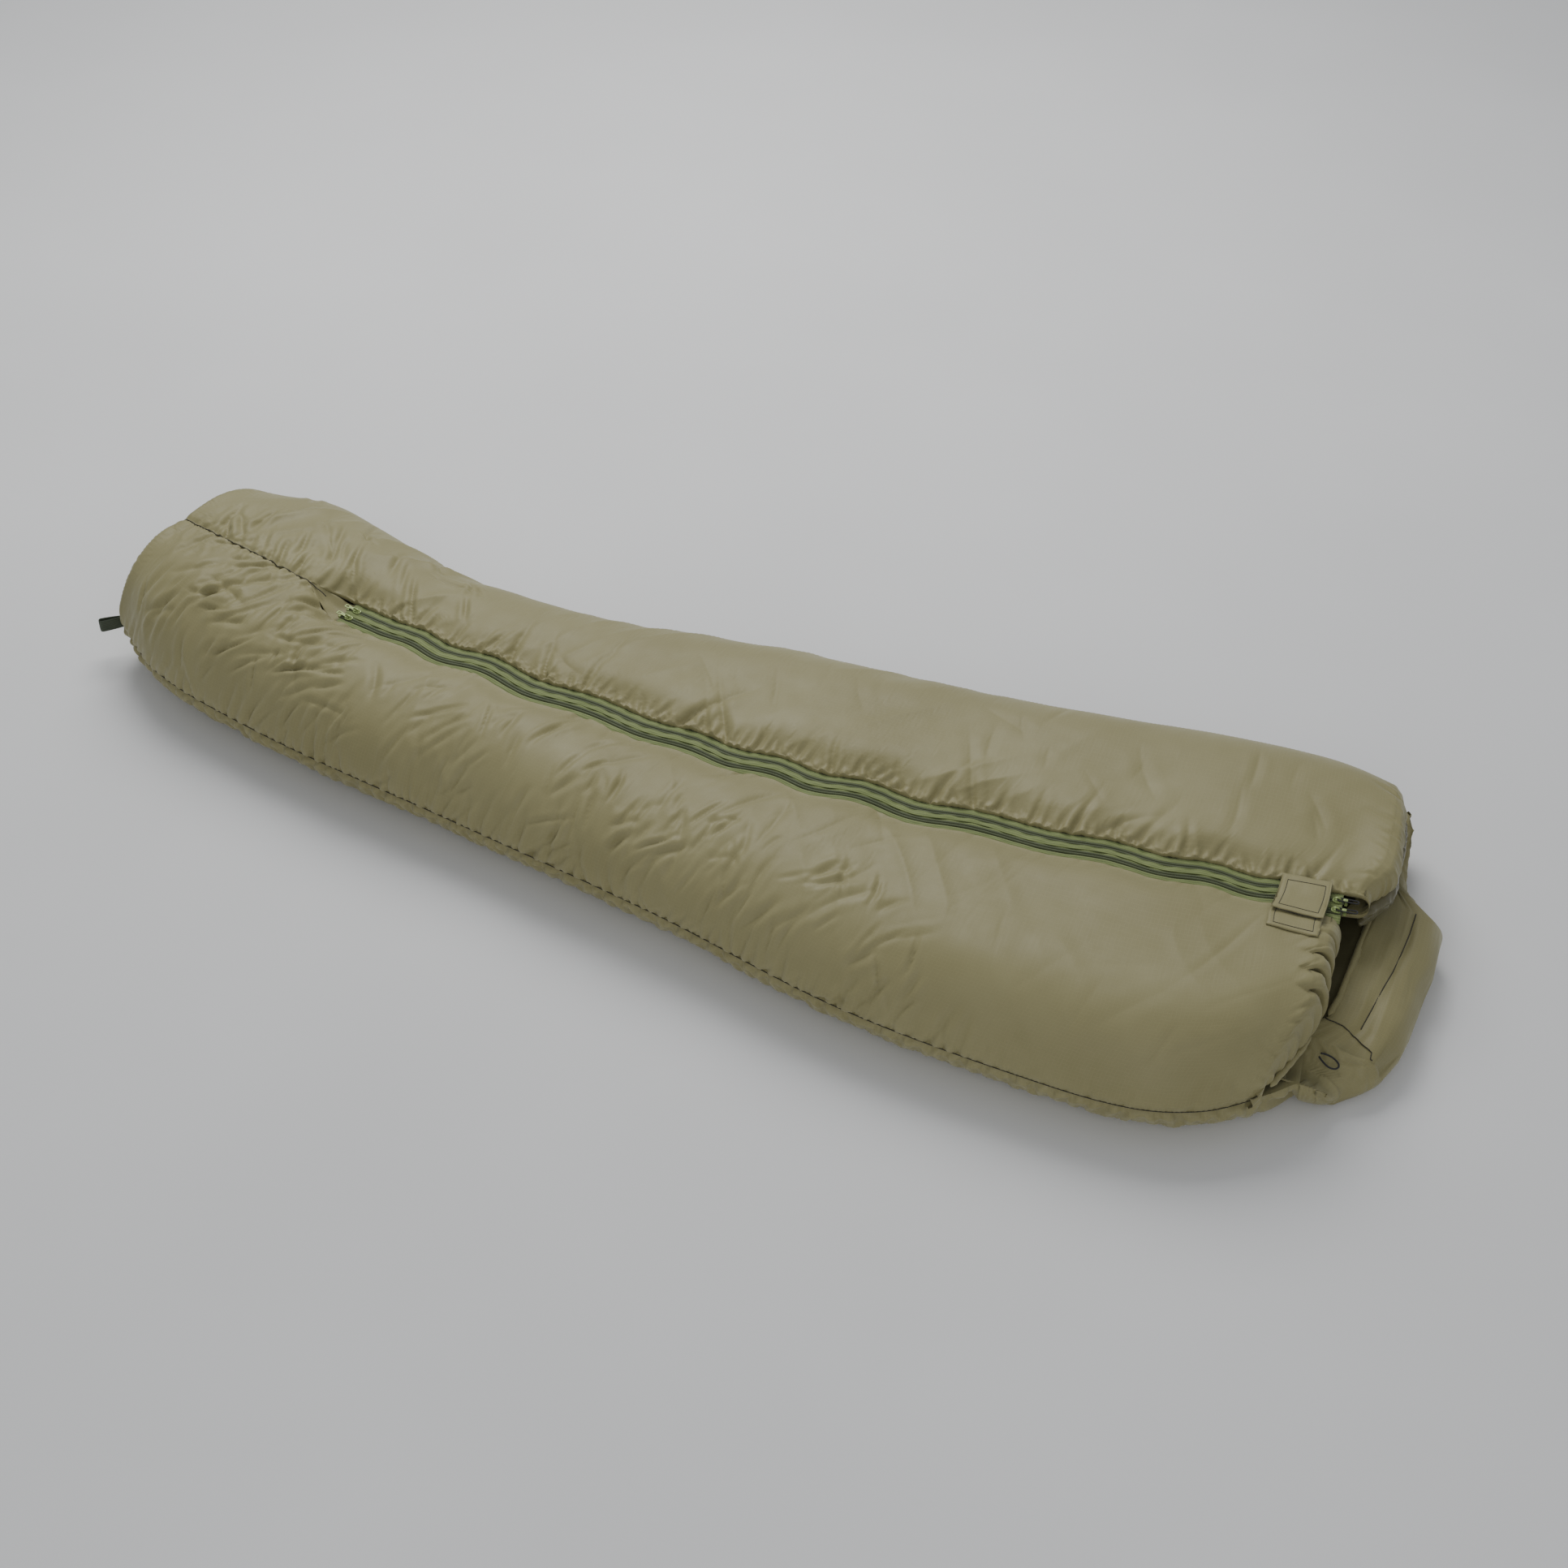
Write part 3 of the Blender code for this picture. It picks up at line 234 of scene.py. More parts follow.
def cloth_links(rest, excess_rows, excess_cols):
    """The threads between a sheet's points, each (one end, other end, length, share of the pull)."""
    links = []
    for di, dj, share in LINKS:
        rows, cols = rest.shape[0] - di, rest.shape[1] - abs(dj)
        a = (slice(0, rows), slice(max(-dj, 0), max(-dj, 0) + cols))
        b = (slice(di, di + rows), slice(max(dj, 0), max(dj, 0) + cols))
        length = np.linalg.norm(rest[b] - rest[a], axis=-1)
        more_r = 0.5 * (excess_rows[a] + excess_rows[b])
        more_c = 0.5 * (excess_cols[a] + excess_cols[b])
        more = more_r if dj == 0 else more_c if di == 0 else 0.5 * (more_r + more_c)
        ease = STIFF_EASE if max(di, abs(dj)) == 3 else 1.0
        links.append((a, b, length * (1.0 + more) * ease, share))
    return links


def settle(rest, up, excess_rows, excess_cols, hold, pinned, seed, steps, limit=0.014):
    """Lets a sheet of cloth with more cloth than room buckle on its soft filling.

    rest is the sheet as cut to the room there is, and up its outward normals. excess_rows and excess_cols say
    how much longer the cloth is along each direction. hold is how firmly the filling keeps each point, pinned
    marks the sewn points, and limit is as far as the cloth can lift.
    """
    rng = np.random.default_rng(seed)
    shape = rest.shape[:2]
    excess_rows, excess_cols, hold = (np.broadcast_to(v, shape) for v in (excess_rows, excess_cols, hold))
    x = rest + up * (0.0006 * rng.uniform(-1, 1, shape))[..., None] * ~pinned[..., None]
    free = (~pinned).astype(float)[..., None]
    links = cloth_links(rest, excess_rows, excess_cols)
    speed = np.zeros_like(x)
    hold = hold[..., None]
    for _ in range(steps):
        push = np.zeros_like(x)
        for a, b, length, share in links:
            d = x[b] - x[a]
            now = np.maximum(np.linalg.norm(d, axis=-1), 1e-9)
            move = d * (share * (now - length) / now)[..., None]
            push[a] += move
            push[b] -= move
        push += hold * (rest - x) + up * PRESSURE
        speed = KEPT_SPEED * speed + push
        x = x + speed * free
    lift = ((x - rest) * up).sum(-1, keepdims=True)
    soft = limit * np.tanh(lift / limit)
    return x + up * (soft - lift)


# ---------------------------------------------------------------- meshes


def quads(rows, cols, start=0, turned=False, ring=False):
    """Corner numbers of the faces of a grid of points."""
    i, j = np.meshgrid(np.arange(rows - 1), np.arange(cols if ring else cols - 1), indexing="ij")
    k = (j + 1) % cols
    a, b, c, d = i * cols + j, (i + 1) * cols + j, (i + 1) * cols + k, i * cols + k
    order = (a, d, c, b) if turned else (a, b, c, d)
    return np.stack(order, -1).reshape(-1, 4) + start


def mesh_object(name, sheets, materials, turned=()):
    """One object from several grids, each (points, uv or None, material number, closed ring or not)."""
    co, faces, numbers, uvs = [], [], [], []
    start = 0
    for k, (points, uv, number, ring) in enumerate(sheets):
        rows, cols = points.shape[:2]
        co.append(points.reshape(-1, 3))
        f = quads(rows, cols, start, k in turned, ring)
        faces.append(f)
        numbers.append(np.full(len(f), number))
        uvs.append(np.zeros((rows * cols, 2)) if uv is None else uv.reshape(-1, 2))
        start += rows * cols
    co, faces, uvs = np.concatenate(co), np.concatenate(faces), np.concatenate(uvs)
    data = bpy.data.meshes.new(name)
    data.vertices.add(len(co))
    data.vertices.foreach_set("co", co.astype(np.float32).ravel())
    data.loops.add(faces.size)
    data.loops.foreach_set("vertex_index", faces.astype(np.int32).ravel())
    data.polygons.add(len(faces))
    data.polygons.foreach_set("loop_start", np.arange(0, faces.size, 4, dtype=np.int32))
    data.polygons.foreach_set("material_index", np.concatenate(numbers).astype(np.int32))
    data.update(calc_edges=True)
    layer = data.uv_layers.new(name="cloth")
    layer.data.foreach_set("uv", uvs[faces.ravel()].astype(np.float32).ravel())
    data.polygons.foreach_set("use_smooth", np.ones(len(faces), bool))
    data.validate()
    obj = bpy.data.objects.new(name, data)
    bpy.context.scene.collection.objects.link(obj)
    for material in materials:
        data.materials.append(material)
    return obj


def tube_sheet(path, radius, sides=8, squeeze=1.0):
    """Ring points round a path. radius may be one number or one for each point."""
    path = np.asarray(path, float)
    way = np.gradient(path, axis=0)
    way /= np.maximum(np.linalg.norm(way, axis=1, keepdims=True), 1e-12)
    normal = np.zeros_like(path)
    guide = np.array((0.0, 0.0, 1.0)) if abs(way[0][2]) < 0.9 else np.array((1.0, 0.0, 0.0))
    for i, w in enumerate(way):
        guide = guide - w * (guide @ w)
        guide = guide / max(np.linalg.norm(guide), 1e-9)
        normal[i] = guide
    side = np.cross(way, normal)
    radius = np.broadcast_to(np.asarray(radius, float), len(path))
    turn = np.arange(sides)[None, :, None] * 2 * np.pi / sides
    ring = np.cos(turn) * side[:, None] + squeeze * np.sin(turn) * normal[:, None]
    return path[:, None] + ring * radius[:, None, None]


def capped(sheet):
    """The tube with both ends drawn in to a point."""
    first, last = sheet[0].mean(0), sheet[-1].mean(0)
    cols = sheet.shape[1]
    start, end = (np.repeat(point[None, None], cols, 1) for point in (first, last))
    return np.concatenate((start, sheet, end))


def sewn_edges(shape):
    """Marks the points of a grid's four edges."""
    pinned = np.ones(shape, bool)
    pinned[1:-1, 1:-1] = False
    return pinned


def cut(sheet, number=0, ring=False):
    """A grid of points as mesh_object takes it, with the runs of its own cloth."""
    return sheet, cloth_run(sheet), number, ring


def stand_for(obj, slot, body, *nodes):
    """Hides the nodes that a piece stands for, and ties it to the body it moves with if that is one alone.
    The slot is not used.
    """
    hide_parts(*nodes)
    if body:
        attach(obj, body)


# ---------------------------------------------------------------- quilted panels


def dome(n, z, angle):
    """The rounded foot: a point of the end section carried round by the given angle, as (s, n, z)."""
    scale = np.maximum(np.cos(angle), 1e-6) ** DOME_POWER
    s = FOOT_END - FOOT_DEPTH * np.sin(angle)
    return s, DOME_MIDDLE[0] + (n - DOME_MIDDLE[0]) * scale, DOME_MIDDLE[1] + (z - DOME_MIDDLE[1]) * scale


def top_section(s, side, columns, side_columns):
    """Offsets n and heights z from the side seam to the zips' edge: a row for each station in s."""
    width = half_width(s, side)
    arc = np.minimum(SIDE_ARC, 0.8 * width)
    j = np.arange(columns)[None, :]
    turn = np.clip(j / side_columns, 0.0, 1.0) * np.pi / 2
    f = np.clip((j - side_columns) / (columns - 1 - side_columns), 0.0, 1.0)
    f = 1.0 - (1.0 - f) ** 1.35
    inner = edge(s)
    n = (width - arc * (1.0 - np.cos(turn))) * (1.0 - f) + inner * f
    crest = through(CREST_HEIGHTS, s)
    z = SEAM_HEIGHT + (crest - SEAM_HEIGHT) * np.sin(turn)
    dip = SEAM_DIP + (crest - EDGE_HEIGHT - SEAM_DIP) * smooth(s, SEAM_END, GUSSET_END)
    z = z - dip * np.exp(-(((n - inner) / VALLEY_WIDTH) ** 2))
    return n, z


def near_end(n):
    """Station where the near collar's edge lies, at offset n."""
    return NEAR_COLLAR - 0.045 * smooth(np.abs(n), 0.17, 0.27)


def far_end(n):
    """Station where the far collar's edge lies, at offset n."""
    return FAR_COLLAR - 0.035 * np.exp(-(((np.abs(n) - ZIP_EDGE) / 0.04) ** 2)) + 0.004 * smooth(n, 0.10, 0.2)


def cloth_run(sheet):
    """Distances along the cloth, in metres, down the rows and along the columns: what a weave follows."""
    down = np.linalg.norm(np.diff(sheet, axis=0), axis=-1).mean(1)
    side = np.linalg.norm(np.diff(sheet, axis=1), axis=-1).mean(0)
    u = np.concatenate(([0.0], np.cumsum(down)))
    v = np.concatenate(([0.0], np.cumsum(side)))
    return np.stack(np.meshgrid(u, v, indexing="ij"), -1)


def run_over(points, axis):
    """Distance along the grid's lines from their first point, for each point."""
    run = np.zeros(points.shape[:2])
    step = np.cumsum(np.linalg.norm(np.diff(points, axis=axis), axis=-1), axis=axis)
    if axis:
        run[:, 1:] = step
    else:
        run[1:] = step
    return run


def dome_rows():
    """How many rows of a panel lie on the rounded foot."""
    return int(0.045 / ROW_STEP)


def top_grid(side):
    """Rest shape of one half of the top: (points, n, s, side-seam distance, edge distance)."""
    end = NEAR_COLLAR if side < 0 else FAR_COLLAR
    rows = int((end - FOOT_END) / ROW_STEP)
    station = np.linspace(FOOT_END, end, rows)[:, None]
    n0, _ = top_section(np.full((1, 1), end), side, TOP_COLUMNS, SIDE_COLUMNS)
    cut = near_end(n0) - NEAR_ROLL if side < 0 else far_end(n0)
    past = np.clip((station - GUSSET_END) / (end - GUSSET_END), 0.0, 1.0)
    s = station + (cut - end) * past
    n, z = top_section(s, side, TOP_COLUMNS, SIDE_COLUMNS)
    angle = np.linspace(DOME_SEAM, 0.0, dome_rows())[:-1, None]
    ds, dn, dz = dome(side * n[:1], z[:1], angle)
    s = np.concatenate((np.broadcast_to(ds, dn.shape), s))
    n, z = np.concatenate((dn, side * n)), np.concatenate((dz, z))
    points = place(s, n, z)
    from_seam, from_foot = run_over(points, 1), run_over(points, 0)
    from_edge = from_seam[:, -1:] - from_seam
    return points, s, n, from_seam, from_edge, from_foot


def wrinkles(s, across_run, lean, seed):
    """Broad soft folds that run slantwise over a panel, between -1 and 1."""
    a = s * math.cos(lean) + across_run * math.sin(lean)
    b = across_run * math.cos(lean) - s * math.sin(lean)
    bend = 0.035 * noise(s, across_run, 0.20, 0.20, seed + 1)
    ridge = 1.0 - 2.0 * np.abs(noise(a + bend, b, 0.050, 0.19, seed))
    return ridge * (0.5 + 0.5 * noise(s, across_run, 0.22, 0.16, seed + 2))


def creases(s, v, marks):
    """Height field of many folds.

    A mark is (s, v, lean, length, width, depth, bend, rooted): where it starts, how far it leans off the v
    direction, its size, and whether it is rooted in a seam or lies loose on the panel.
    """
    height = np.zeros(s.shape)
    row_s = s.mean(1)
    for s0, v0, lean, length, width, depth, bend, rooted in marks:
        reach = length + 5.0 * width + 0.01
        rows = slice(*np.searchsorted(row_s, (s0 - reach, s0 + reach)))
        ds, dv = s[rows] - s0, v[rows] - v0
        t = (ds * math.sin(lean) + dv * math.cos(lean)) / length
        d = ds * math.cos(lean) - dv * math.sin(lean) + bend * t * t
        inside = np.clip(t, 0.0, 1.0)
        fade = smooth(t, -0.05, 0.03) * (1.0 - inside) ** 1.2 if rooted else np.sin(np.pi * inside)
        valley = np.exp(-np.abs(d) / (width * (0.7 + 0.6 * inside)))
        puff = 0.40 * np.exp(-(((np.abs(d) - 2.4 * width) / (1.6 * width)) ** 2))
        height[rows] += depth * fade * (puff - valley)
    return height


def seam_marks(rng, start, end, spacing, lengths, widths, depth, lean, spread=0.28):
    """Puckers rooted in a seam at v = 0, of mixed sizes."""
    marks = []
    at = start
    while at < end:
        big = rng.random() ** 1.6
        length = lengths[0] + (lengths[1] - lengths[0]) * big
        width = widths[0] + (widths[1] - widths[0]) * big
        deep = depth * rng.uniform(0.5, 1.0) * (0.7 + 0.6 * big)
        bend = length * rng.normal(0.0, 0.12)
        marks.append((at, 0.0, lean + rng.normal(0.0, spread), length, width, deep, bend, True))
        at += spacing * rng.uniform(0.45, 1.6)
    return marks


def loose_marks(rng, count, stations, runs, lengths, widths, depths, lean, spread=0.35):
    """Creases lying anywhere in a stretch of a panel."""
    marks = []
    for _ in range(count):
        big = rng.random()
        length = lengths[0] + (lengths[1] - lengths[0]) * big
        width = widths[0] + (widths[1] - widths[0]) * rng.random()
        depth = depths[0] + (depths[1] - depths[0]) * rng.random()
        bend = length * rng.normal(0.0, 0.15)
        marks.append((rng.uniform(*stations), rng.uniform(*runs), lean + rng.normal(0.0, spread), length,
                      width,
                      depth, bend, False))
    return marks


def near_creases(s, from_seam, from_edge):
    """The near half: puckers along its side seam, soft slanting creases and a few drawn out from the zip."""
    rng = np.random.default_rng(301)
    low = seam_marks(rng, -1.10, 0.45, 0.012, (0.018, 0.115), (0.0022, 0.0050), 0.0060, 0.30)
    low += seam_marks(rng, 0.45, 0.86, 0.020, (0.015, 0.080), (0.0030, 0.0050), 0.0018, 0.20)
    low += loose_marks(rng, 150, (-1.08, 0.35), (0.02, 0.17), (0.035, 0.10), (0.0026, 0.0055),
                       (0.0020, 0.0052), 0.35)
    low += loose_marks(rng, 60, (-1.0, 0.25), (0.12, 0.36), (0.06, 0.18), (0.004, 0.008), (0.0012, 0.0036),
                       0.42)
    low += loose_marks(rng, 26, (0.25, 0.78), (0.05, 0.40), (0.08, 0.20), (0.004, 0.008), (0.0004, 0.0011),
                       0.55)
    low += loose_marks(rng, 34, (-1.08, -0.70), (0.08, 0.30), (0.04, 0.13), (0.0032, 0.006),
                       (0.0028, 0.0062), 0.75)
    high = seam_marks(rng, -0.72, 0.80, 0.034, (0.03, 0.20), (0.0040, 0.0070), 0.0013, -0.42, 0.25)
    foot = seam_marks(rng, -1.10, -0.80, 0.012, (0.02, 0.11), (0.0028, 0.0055), 0.0026, -0.25, 0.35)
    flipped = creases(s[:, ::-1], from_edge[:, ::-1], high + foot)[:, ::-1]
    return creases(s, from_seam, low) + flipped


def far_creases(s, from_seam, from_edge):
    """The far half: dense gathers at the zip, some of them running on as slanting creases."""
    rng = np.random.default_rng(302)
    low = seam_marks(rng, -1.10, 0.90, 0.022, (0.02, 0.10), (0.0030, 0.0060), 0.0024, -0.20)
    low += loose_marks(rng, 46, (-1.0, 0.85), (0.10, 0.42), (0.05, 0.15), (0.004, 0.009), (0.0008, 0.0024),
                       0.30)
    low += loose_marks(rng, 36, (-1.08, -0.60), (0.08, 0.34), (0.04, 0.13), (0.0032, 0.006),
                       (0.0028, 0.0060), 0.55)
    zip_run = seam_marks(rng, -0.78, 0.88, 0.0082, (0.010, 0.040), (0.0020, 0.0034), 0.0036, 0.10, 0.32)
    zip_run += seam_marks(rng, -0.76, 0.86, 0.048, (0.05, 0.19), (0.0034, 0.0070), 0.0056, 0.30, 0.30)
    foot = seam_marks(rng, -1.10, -0.80, 0.012, (0.02, 0.10), (0.0028, 0.0055), 0.0026, 0.15, 0.35)
    flipped = creases(s[:, ::-1], from_edge[:, ::-1], zip_run + foot)[:, ::-1]
    return creases(s, from_seam, low) + flipped


def collar_creases(from_seam, from_collar, reach, seed):
    """Gathers drawn in by a collar's elastic, running back from its edge."""
    rng = np.random.default_rng(seed)
    end = float(from_seam.max())
    marks = seam_marks(rng, 0.02, end, 0.024, (0.012, reach), (0.0026, 0.0055), 0.0030, 0.0, 0.25)
    return creases(from_seam.T, from_collar.T, marks).T


def seam_dent(run, deep, wide):
    """The hollow that a line of stitches draws in."""
    return -deep * np.exp(-((run / wide) ** 2))


def seam_line(s, n, z):
    """The side seam, drawn in a little from the widest line of the bag."""
    return place(s, n - np.sign(n) * SEAM_DENT, z)


def notched(rest, n, from_collar):
    """The near collar's edge, pinched back where its elastic gathers it."""
    back = np.zeros(n.shape)
    for middle, deep in ((0.118, 0.010), (0.150, 0.013), (0.182, 0.009), (0.075, 0.005)):
        back += deep * np.exp(-(((np.abs(n) - middle) / 0.006) ** 2))
    back *= np.exp(-((from_collar / 0.028) ** 2))
    away = np.asarray(along(NEAR_COLLAR))[None, None]
    return rest - away * back[..., None] - 0.35 * UP * back[..., None]


def top_bumps(side, s, from_seam, from_edge, from_foot, from_collar):
    """Heights of all that shapes one half's cloth off its smooth form."""
    opened = smooth(s, SEAM_END, GUSSET_END)
    inside = np.minimum(np.minimum(from_seam, from_edge), np.minimum(from_foot, from_collar))
    soft = smooth(inside, 0.0, 0.06)
    lean = 0.55 if side < 0 else 0.75
    calm = 1.0 - 0.70 * smooth(s, 0.15, 0.45)
    bumps = soft * calm * 0.0042 * wrinkles(s, from_seam, lean, 11 + side)
    bumps = bumps + soft * 0.005 * noise(s, from_seam, 0.16, 0.14, 31 + side)
    bumps = bumps + seam_dent(from_seam, SEAM_DENT, 0.009) + seam_dent(from_foot, 0.003, 0.006)
    bumps = bumps + (1.0 - opened) * seam_dent(from_edge, 0.003, 0.007)
    bumps = bumps + (near_creases if side < 0 else far_creases)(s, from_seam, from_edge)
    bumps = bumps + collar_creases(from_seam, from_collar, 0.06 if side < 0 else 0.075, 303 + side)
    return bumps - SLACK * soft


def make_top(side):
    """Outer cloth of one half of the top, settled on its filling."""
    points, s, n, from_seam, from_edge, from_foot = top_grid(side)
    up = -side * normals(points)
    from_collar = from_foot[-1:] - from_foot
    opened = smooth(s, SEAM_END, GUSSET_END)
    slide, rise = sway(s)
    near_zip = np.exp(-((from_edge / 0.07) ** 2))
    rest = points + np.asarray(across(0.3))[None, None] * (slide * near_zip)[..., None]
    rest[..., 2] += rise * near_zip
    rest = rest + up * top_bumps(side, s, from_seam, from_edge, from_foot, from_collar)[..., None]
    if side < 0:
        rest = notched(rest, n, from_collar)
    rest[:, 0] = seam_line(s[:, 0], n[:, 0], points[:, 0, 2])
    calmer = smooth(s, 0.15, 0.45)
    more_rows = 0.018 - 0.010 * calmer + 0.085 * np.exp(-from_seam / 0.045)
    more_rows = more_rows + (0.17 if side > 0 else 0.015) * opened * np.exp(-from_edge / 0.022)
    more_rows = more_rows + 0.12 * (1.0 - opened) * np.exp(-from_edge / 0.05)
    more_cols = 0.016 - 0.008 * calmer + 0.08 * np.exp(-from_foot / 0.03)
    more_cols = more_cols + 0.06 * np.exp(-from_collar / 0.02)
    hold = 0.010 + 0.06 * np.exp(-from_edge / 0.02) + 0.03 * np.exp(-from_seam / 0.03)
    x = settle(rest, up, more_rows, more_cols, hold, sewn_edges(s.shape), 71 + side, TOP_TURNS)
    return x, up, s, n


def curl(x, up, out, drop, back, count):
    """Rows that roll the cloth's edge round: outwards and down from the last row of x."""
    rows = []
    for k in range(1, count + 1):
        t = 0.5 * math.pi * k / count
        rows.append(x + out * (back * math.sin(t)) - up * (drop * (1.0 - math.cos(t))))
    return np.stack(rows)


def collar_roll(row, out, side):
    """Rows that carry a collar's edge over, round and in under itself, plump as the quilt is thick."""
    low = 0.094 if side < 0 else 0.128
    flat = out * np.array((1.0, 1.0, 0.0))
    drop = np.maximum(row[:, 2] - low, 0.010)
    back = np.minimum(0.40 * drop, 0.026)
    turn = np.linspace(0.0, np.pi, 19)[1:]
    run = np.concatenate(([0.0], np.cumsum(np.linalg.norm(np.diff(row, axis=0), axis=1))))
    rows = []
    for a in turn:
        gather = 0.0024 * math.sin(a) * noise(run, a, 0.020, 1.4, 305 + side)
        level = row - UP * (0.5 * drop * (1.0 - math.cos(a)))[:, None]
        rows.append(level + flat * (back * math.sin(a) ** 0.8 + gather)[:, None])
    rows.append(rows[-1] - flat * 0.018 - np.array((0.0, 0.0, 0.002)))
    return np.stack(rows)


def around(grid):
    """Sum of the four neighbours of each inner point."""
    return grid[2:, 1:-1] + grid[:-2, 1:-1] + grid[1:-1, 2:] + grid[1:-1, :-2]


def wall_thickness(n, s):
    """The quilt's thickness: full, but thin where it is sewn to the zips and to the closed seam."""
    return WALL * (SEWN_SHARE + (1.0 - SEWN_SHARE) * smooth(np.abs(n) - edge(s), 0.0, SEWN_WIDTH))


def panel(name, side, materials):
    """A half of the top: outer cloth, rolled edges at the zip and the collar, and lining."""
    x, up, s, n = make_top(side)
    collar_out = np.gradient(x, axis=0)[-1]
    collar_out = collar_out / np.linalg.norm(collar_out, axis=-1, keepdims=True)
    roll = collar_roll(x[-1], collar_out, side)
    outer = np.concatenate((x, roll))
    up_all = np.concatenate((up, np.repeat(up[-1:], len(roll), 0)))
    lip_out = -side * np.asarray(across(0.0))
    lip = curl(outer[:, -1], up_all[:, -1], lip_out, 0.006, 0.0012, 3)
    lip_end = lip[-1] - up_all[:, -1] * 0.001 - lip_out * 0.004
    outer = np.concatenate((outer, np.moveaxis(lip, 0, 1), lip_end[:, None]), axis=1)
    cols = np.unique(np.append(np.arange(0, x.shape[1], 5), x.shape[1] - 1))
    calm = (x - up * wall_thickness(n, s)[..., None])[:, cols]
    for _ in range(6):
        calm[1:-1, 1:-1] = 0.25 * around(calm)
    hem = [calm[-1] + up[-1, cols] * h + collar_out[cols] * g for h, g in ((0.004, 0.006), (0.012, 0.008))]
    lining = np.concatenate((calm, np.stack(hem)))
    inner_edge, outer_edge = lining[:, -1], outer[:len(lining), -1]
    side_strip = np.stack((inner_edge, 0.5 * (inner_edge + outer_edge), outer_edge), 1)
    sheets = [cut(outer), cut(lining, 1), cut(side_strip, 1)]
    obj = mesh_object(name, sheets, materials, (0,) if side > 0 else (1,))
    return obj, x


def fold_blend(obj):
    """Bakes the far half's transform into its mesh; the ends of the fold line are found but not used."""
    foot, head = Vector(place(*FOLD_FOOT, 0.0)), Vector(place(*FOLD_HEAD, 0.0))
    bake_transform(obj)


# ---------------------------------------------------------------- base, foot and hood


def base_profile(width_near, width_far, columns, flat):
    """Offsets and heights round the base, from the near side seam, underneath, to the far side seam."""
    turn = np.linspace(0.0, 0.5 * np.pi, columns)[None, :]
    drop = SEAM_HEIGHT * (1.0 - np.sin(turn))
    near = -(width_near - BASE_ARC * (1.0 - np.cos(turn)))
    far = (width_far - BASE_ARC * (1.0 - np.cos(turn)))[:, ::-1]
    t = np.linspace(0.0, 1.0, flat + 2)[None, 1:-1]
    middle = near[:, -1:] * (1.0 - t) + far[:, :1] * t
    n = np.concatenate((near, middle, far), 1)
    z = np.concatenate((drop, 0.0 * t, drop[:, ::-1]), 1)
    return n, np.broadcast_to(z, n.shape)


def base_grid(columns, flat):
    """Rest shape of the base, as stations, offsets and heights."""
    rows = int((BASE_END - FOOT_END) / ROW_STEP)
    t = np.linspace(0.0, 1.0, rows)[:, None]
    s = np.broadcast_to(FOOT_END + (BASE_END - FOOT_END) * t, (rows, 2 * columns + flat))
    for _ in range(5):
        n, z = base_profile(half_width(s[:, :1], -1), half_width(s[:, -1:], 1), columns, flat)
        neck = ZIP_RADIUS * np.arcsin((NECK_X + CENTRING[0] - ARC_X) / (ZIP_RADIUS - n[-1:]))
        s = FOOT_END + (neck - FOOT_END) * t
    side_n = through(NEAR_WIDTHS, s), through(FAR_WIDTHS, s)
    turn = np.linspace(0.0, 0.5 * np.pi, columns)
    inward = BASE_ARC * (1.0 - np.cos(turn))[None, :]
    n = n.copy()
    n[:, :columns] = -(side_n[0][:, :columns] - inward)
    n[:, -columns:] = side_n[1][:, -columns:] - inward[:, ::-1]
    angle = np.linspace(DOME_SEAM, 0.0, dome_rows())[:-1, None]
    ds, dn, dz = dome(n[:1], z[:1], angle)
    s = np.concatenate((np.broadcast_to(ds, dn.shape), s))
    return s, np.concatenate((dn, n)), np.concatenate((dz, z))


def base_creases(s, run, lower):
    """Fine slanting wrinkles down both side strips of the base."""
    field = np.zeros(s.shape)
    rng = np.random.default_rng(307)
    for flip in (False, True):
        marks = seam_marks(rng, -1.10, 0.84, 0.011, (0.015, 0.075), (0.0026, 0.0050), 0.0030, -0.45, 0.40)
        marks += loose_marks(rng, 110, (-1.05, 0.80), (0.015, 0.08), (0.02, 0.07), (0.003, 0.0055),
                             (0.0008, 0.0022), -0.6, 0.6)
        side = run[:, -1:] - run if flip else run
        if flip:
            field += creases(s[:, ::-1], side[:, ::-1], marks)[:, ::-1]
        else:
            field += creases(s, side, marks)
    return field * (0.4 + 0.6 * lower)


def neck_tuck(edge_line, s):
    """The near side's cloth carried on inwards below the collar, up to the neck."""
    line = edge_line[s > TUCK_START]
    t = np.linspace(0.0, 1.0, 16)[None, :]
    run = np.arange(len(line))[:, None] * ROW_STEP
    sheet = line[:, None] + np.asarray(across(BASE_END)) * (TUCK_WIDTH * t)[..., None]
    crumple = 0.003 * noise(run, TUCK_WIDTH * t, 0.022, 0.035, 84) * np.sin(np.pi * t)
    sheet[..., 2] += -0.010 * smooth(t, 0.0, 0.5) + crumple
    return sheet


def base_bumps(s, n, run, from_seam, from_foot, lower):
    """Heights of all that shapes the base's cloth off its smooth form."""
    from_neck = from_foot[-1:] - from_foot
    fan = np.exp(-((from_neck / 0.16) ** 2)) * (n < 0)
    folds = noise(from_neck + 1.5 * from_seam, from_seam, 0.045, 0.30, 91) * fan
    bumps = lower * (0.003 * wrinkles(s, from_seam, 0.9, 51) + 0.006 * folds) + base_creases(s, run, lower)
    bumps = bumps + seam_dent(from_seam, SEAM_DENT, 0.007) + seam_dent(from_foot, 0.004, 0.006)
    return bumps - 0.009 * smooth(from_seam, 0.0, 0.03)


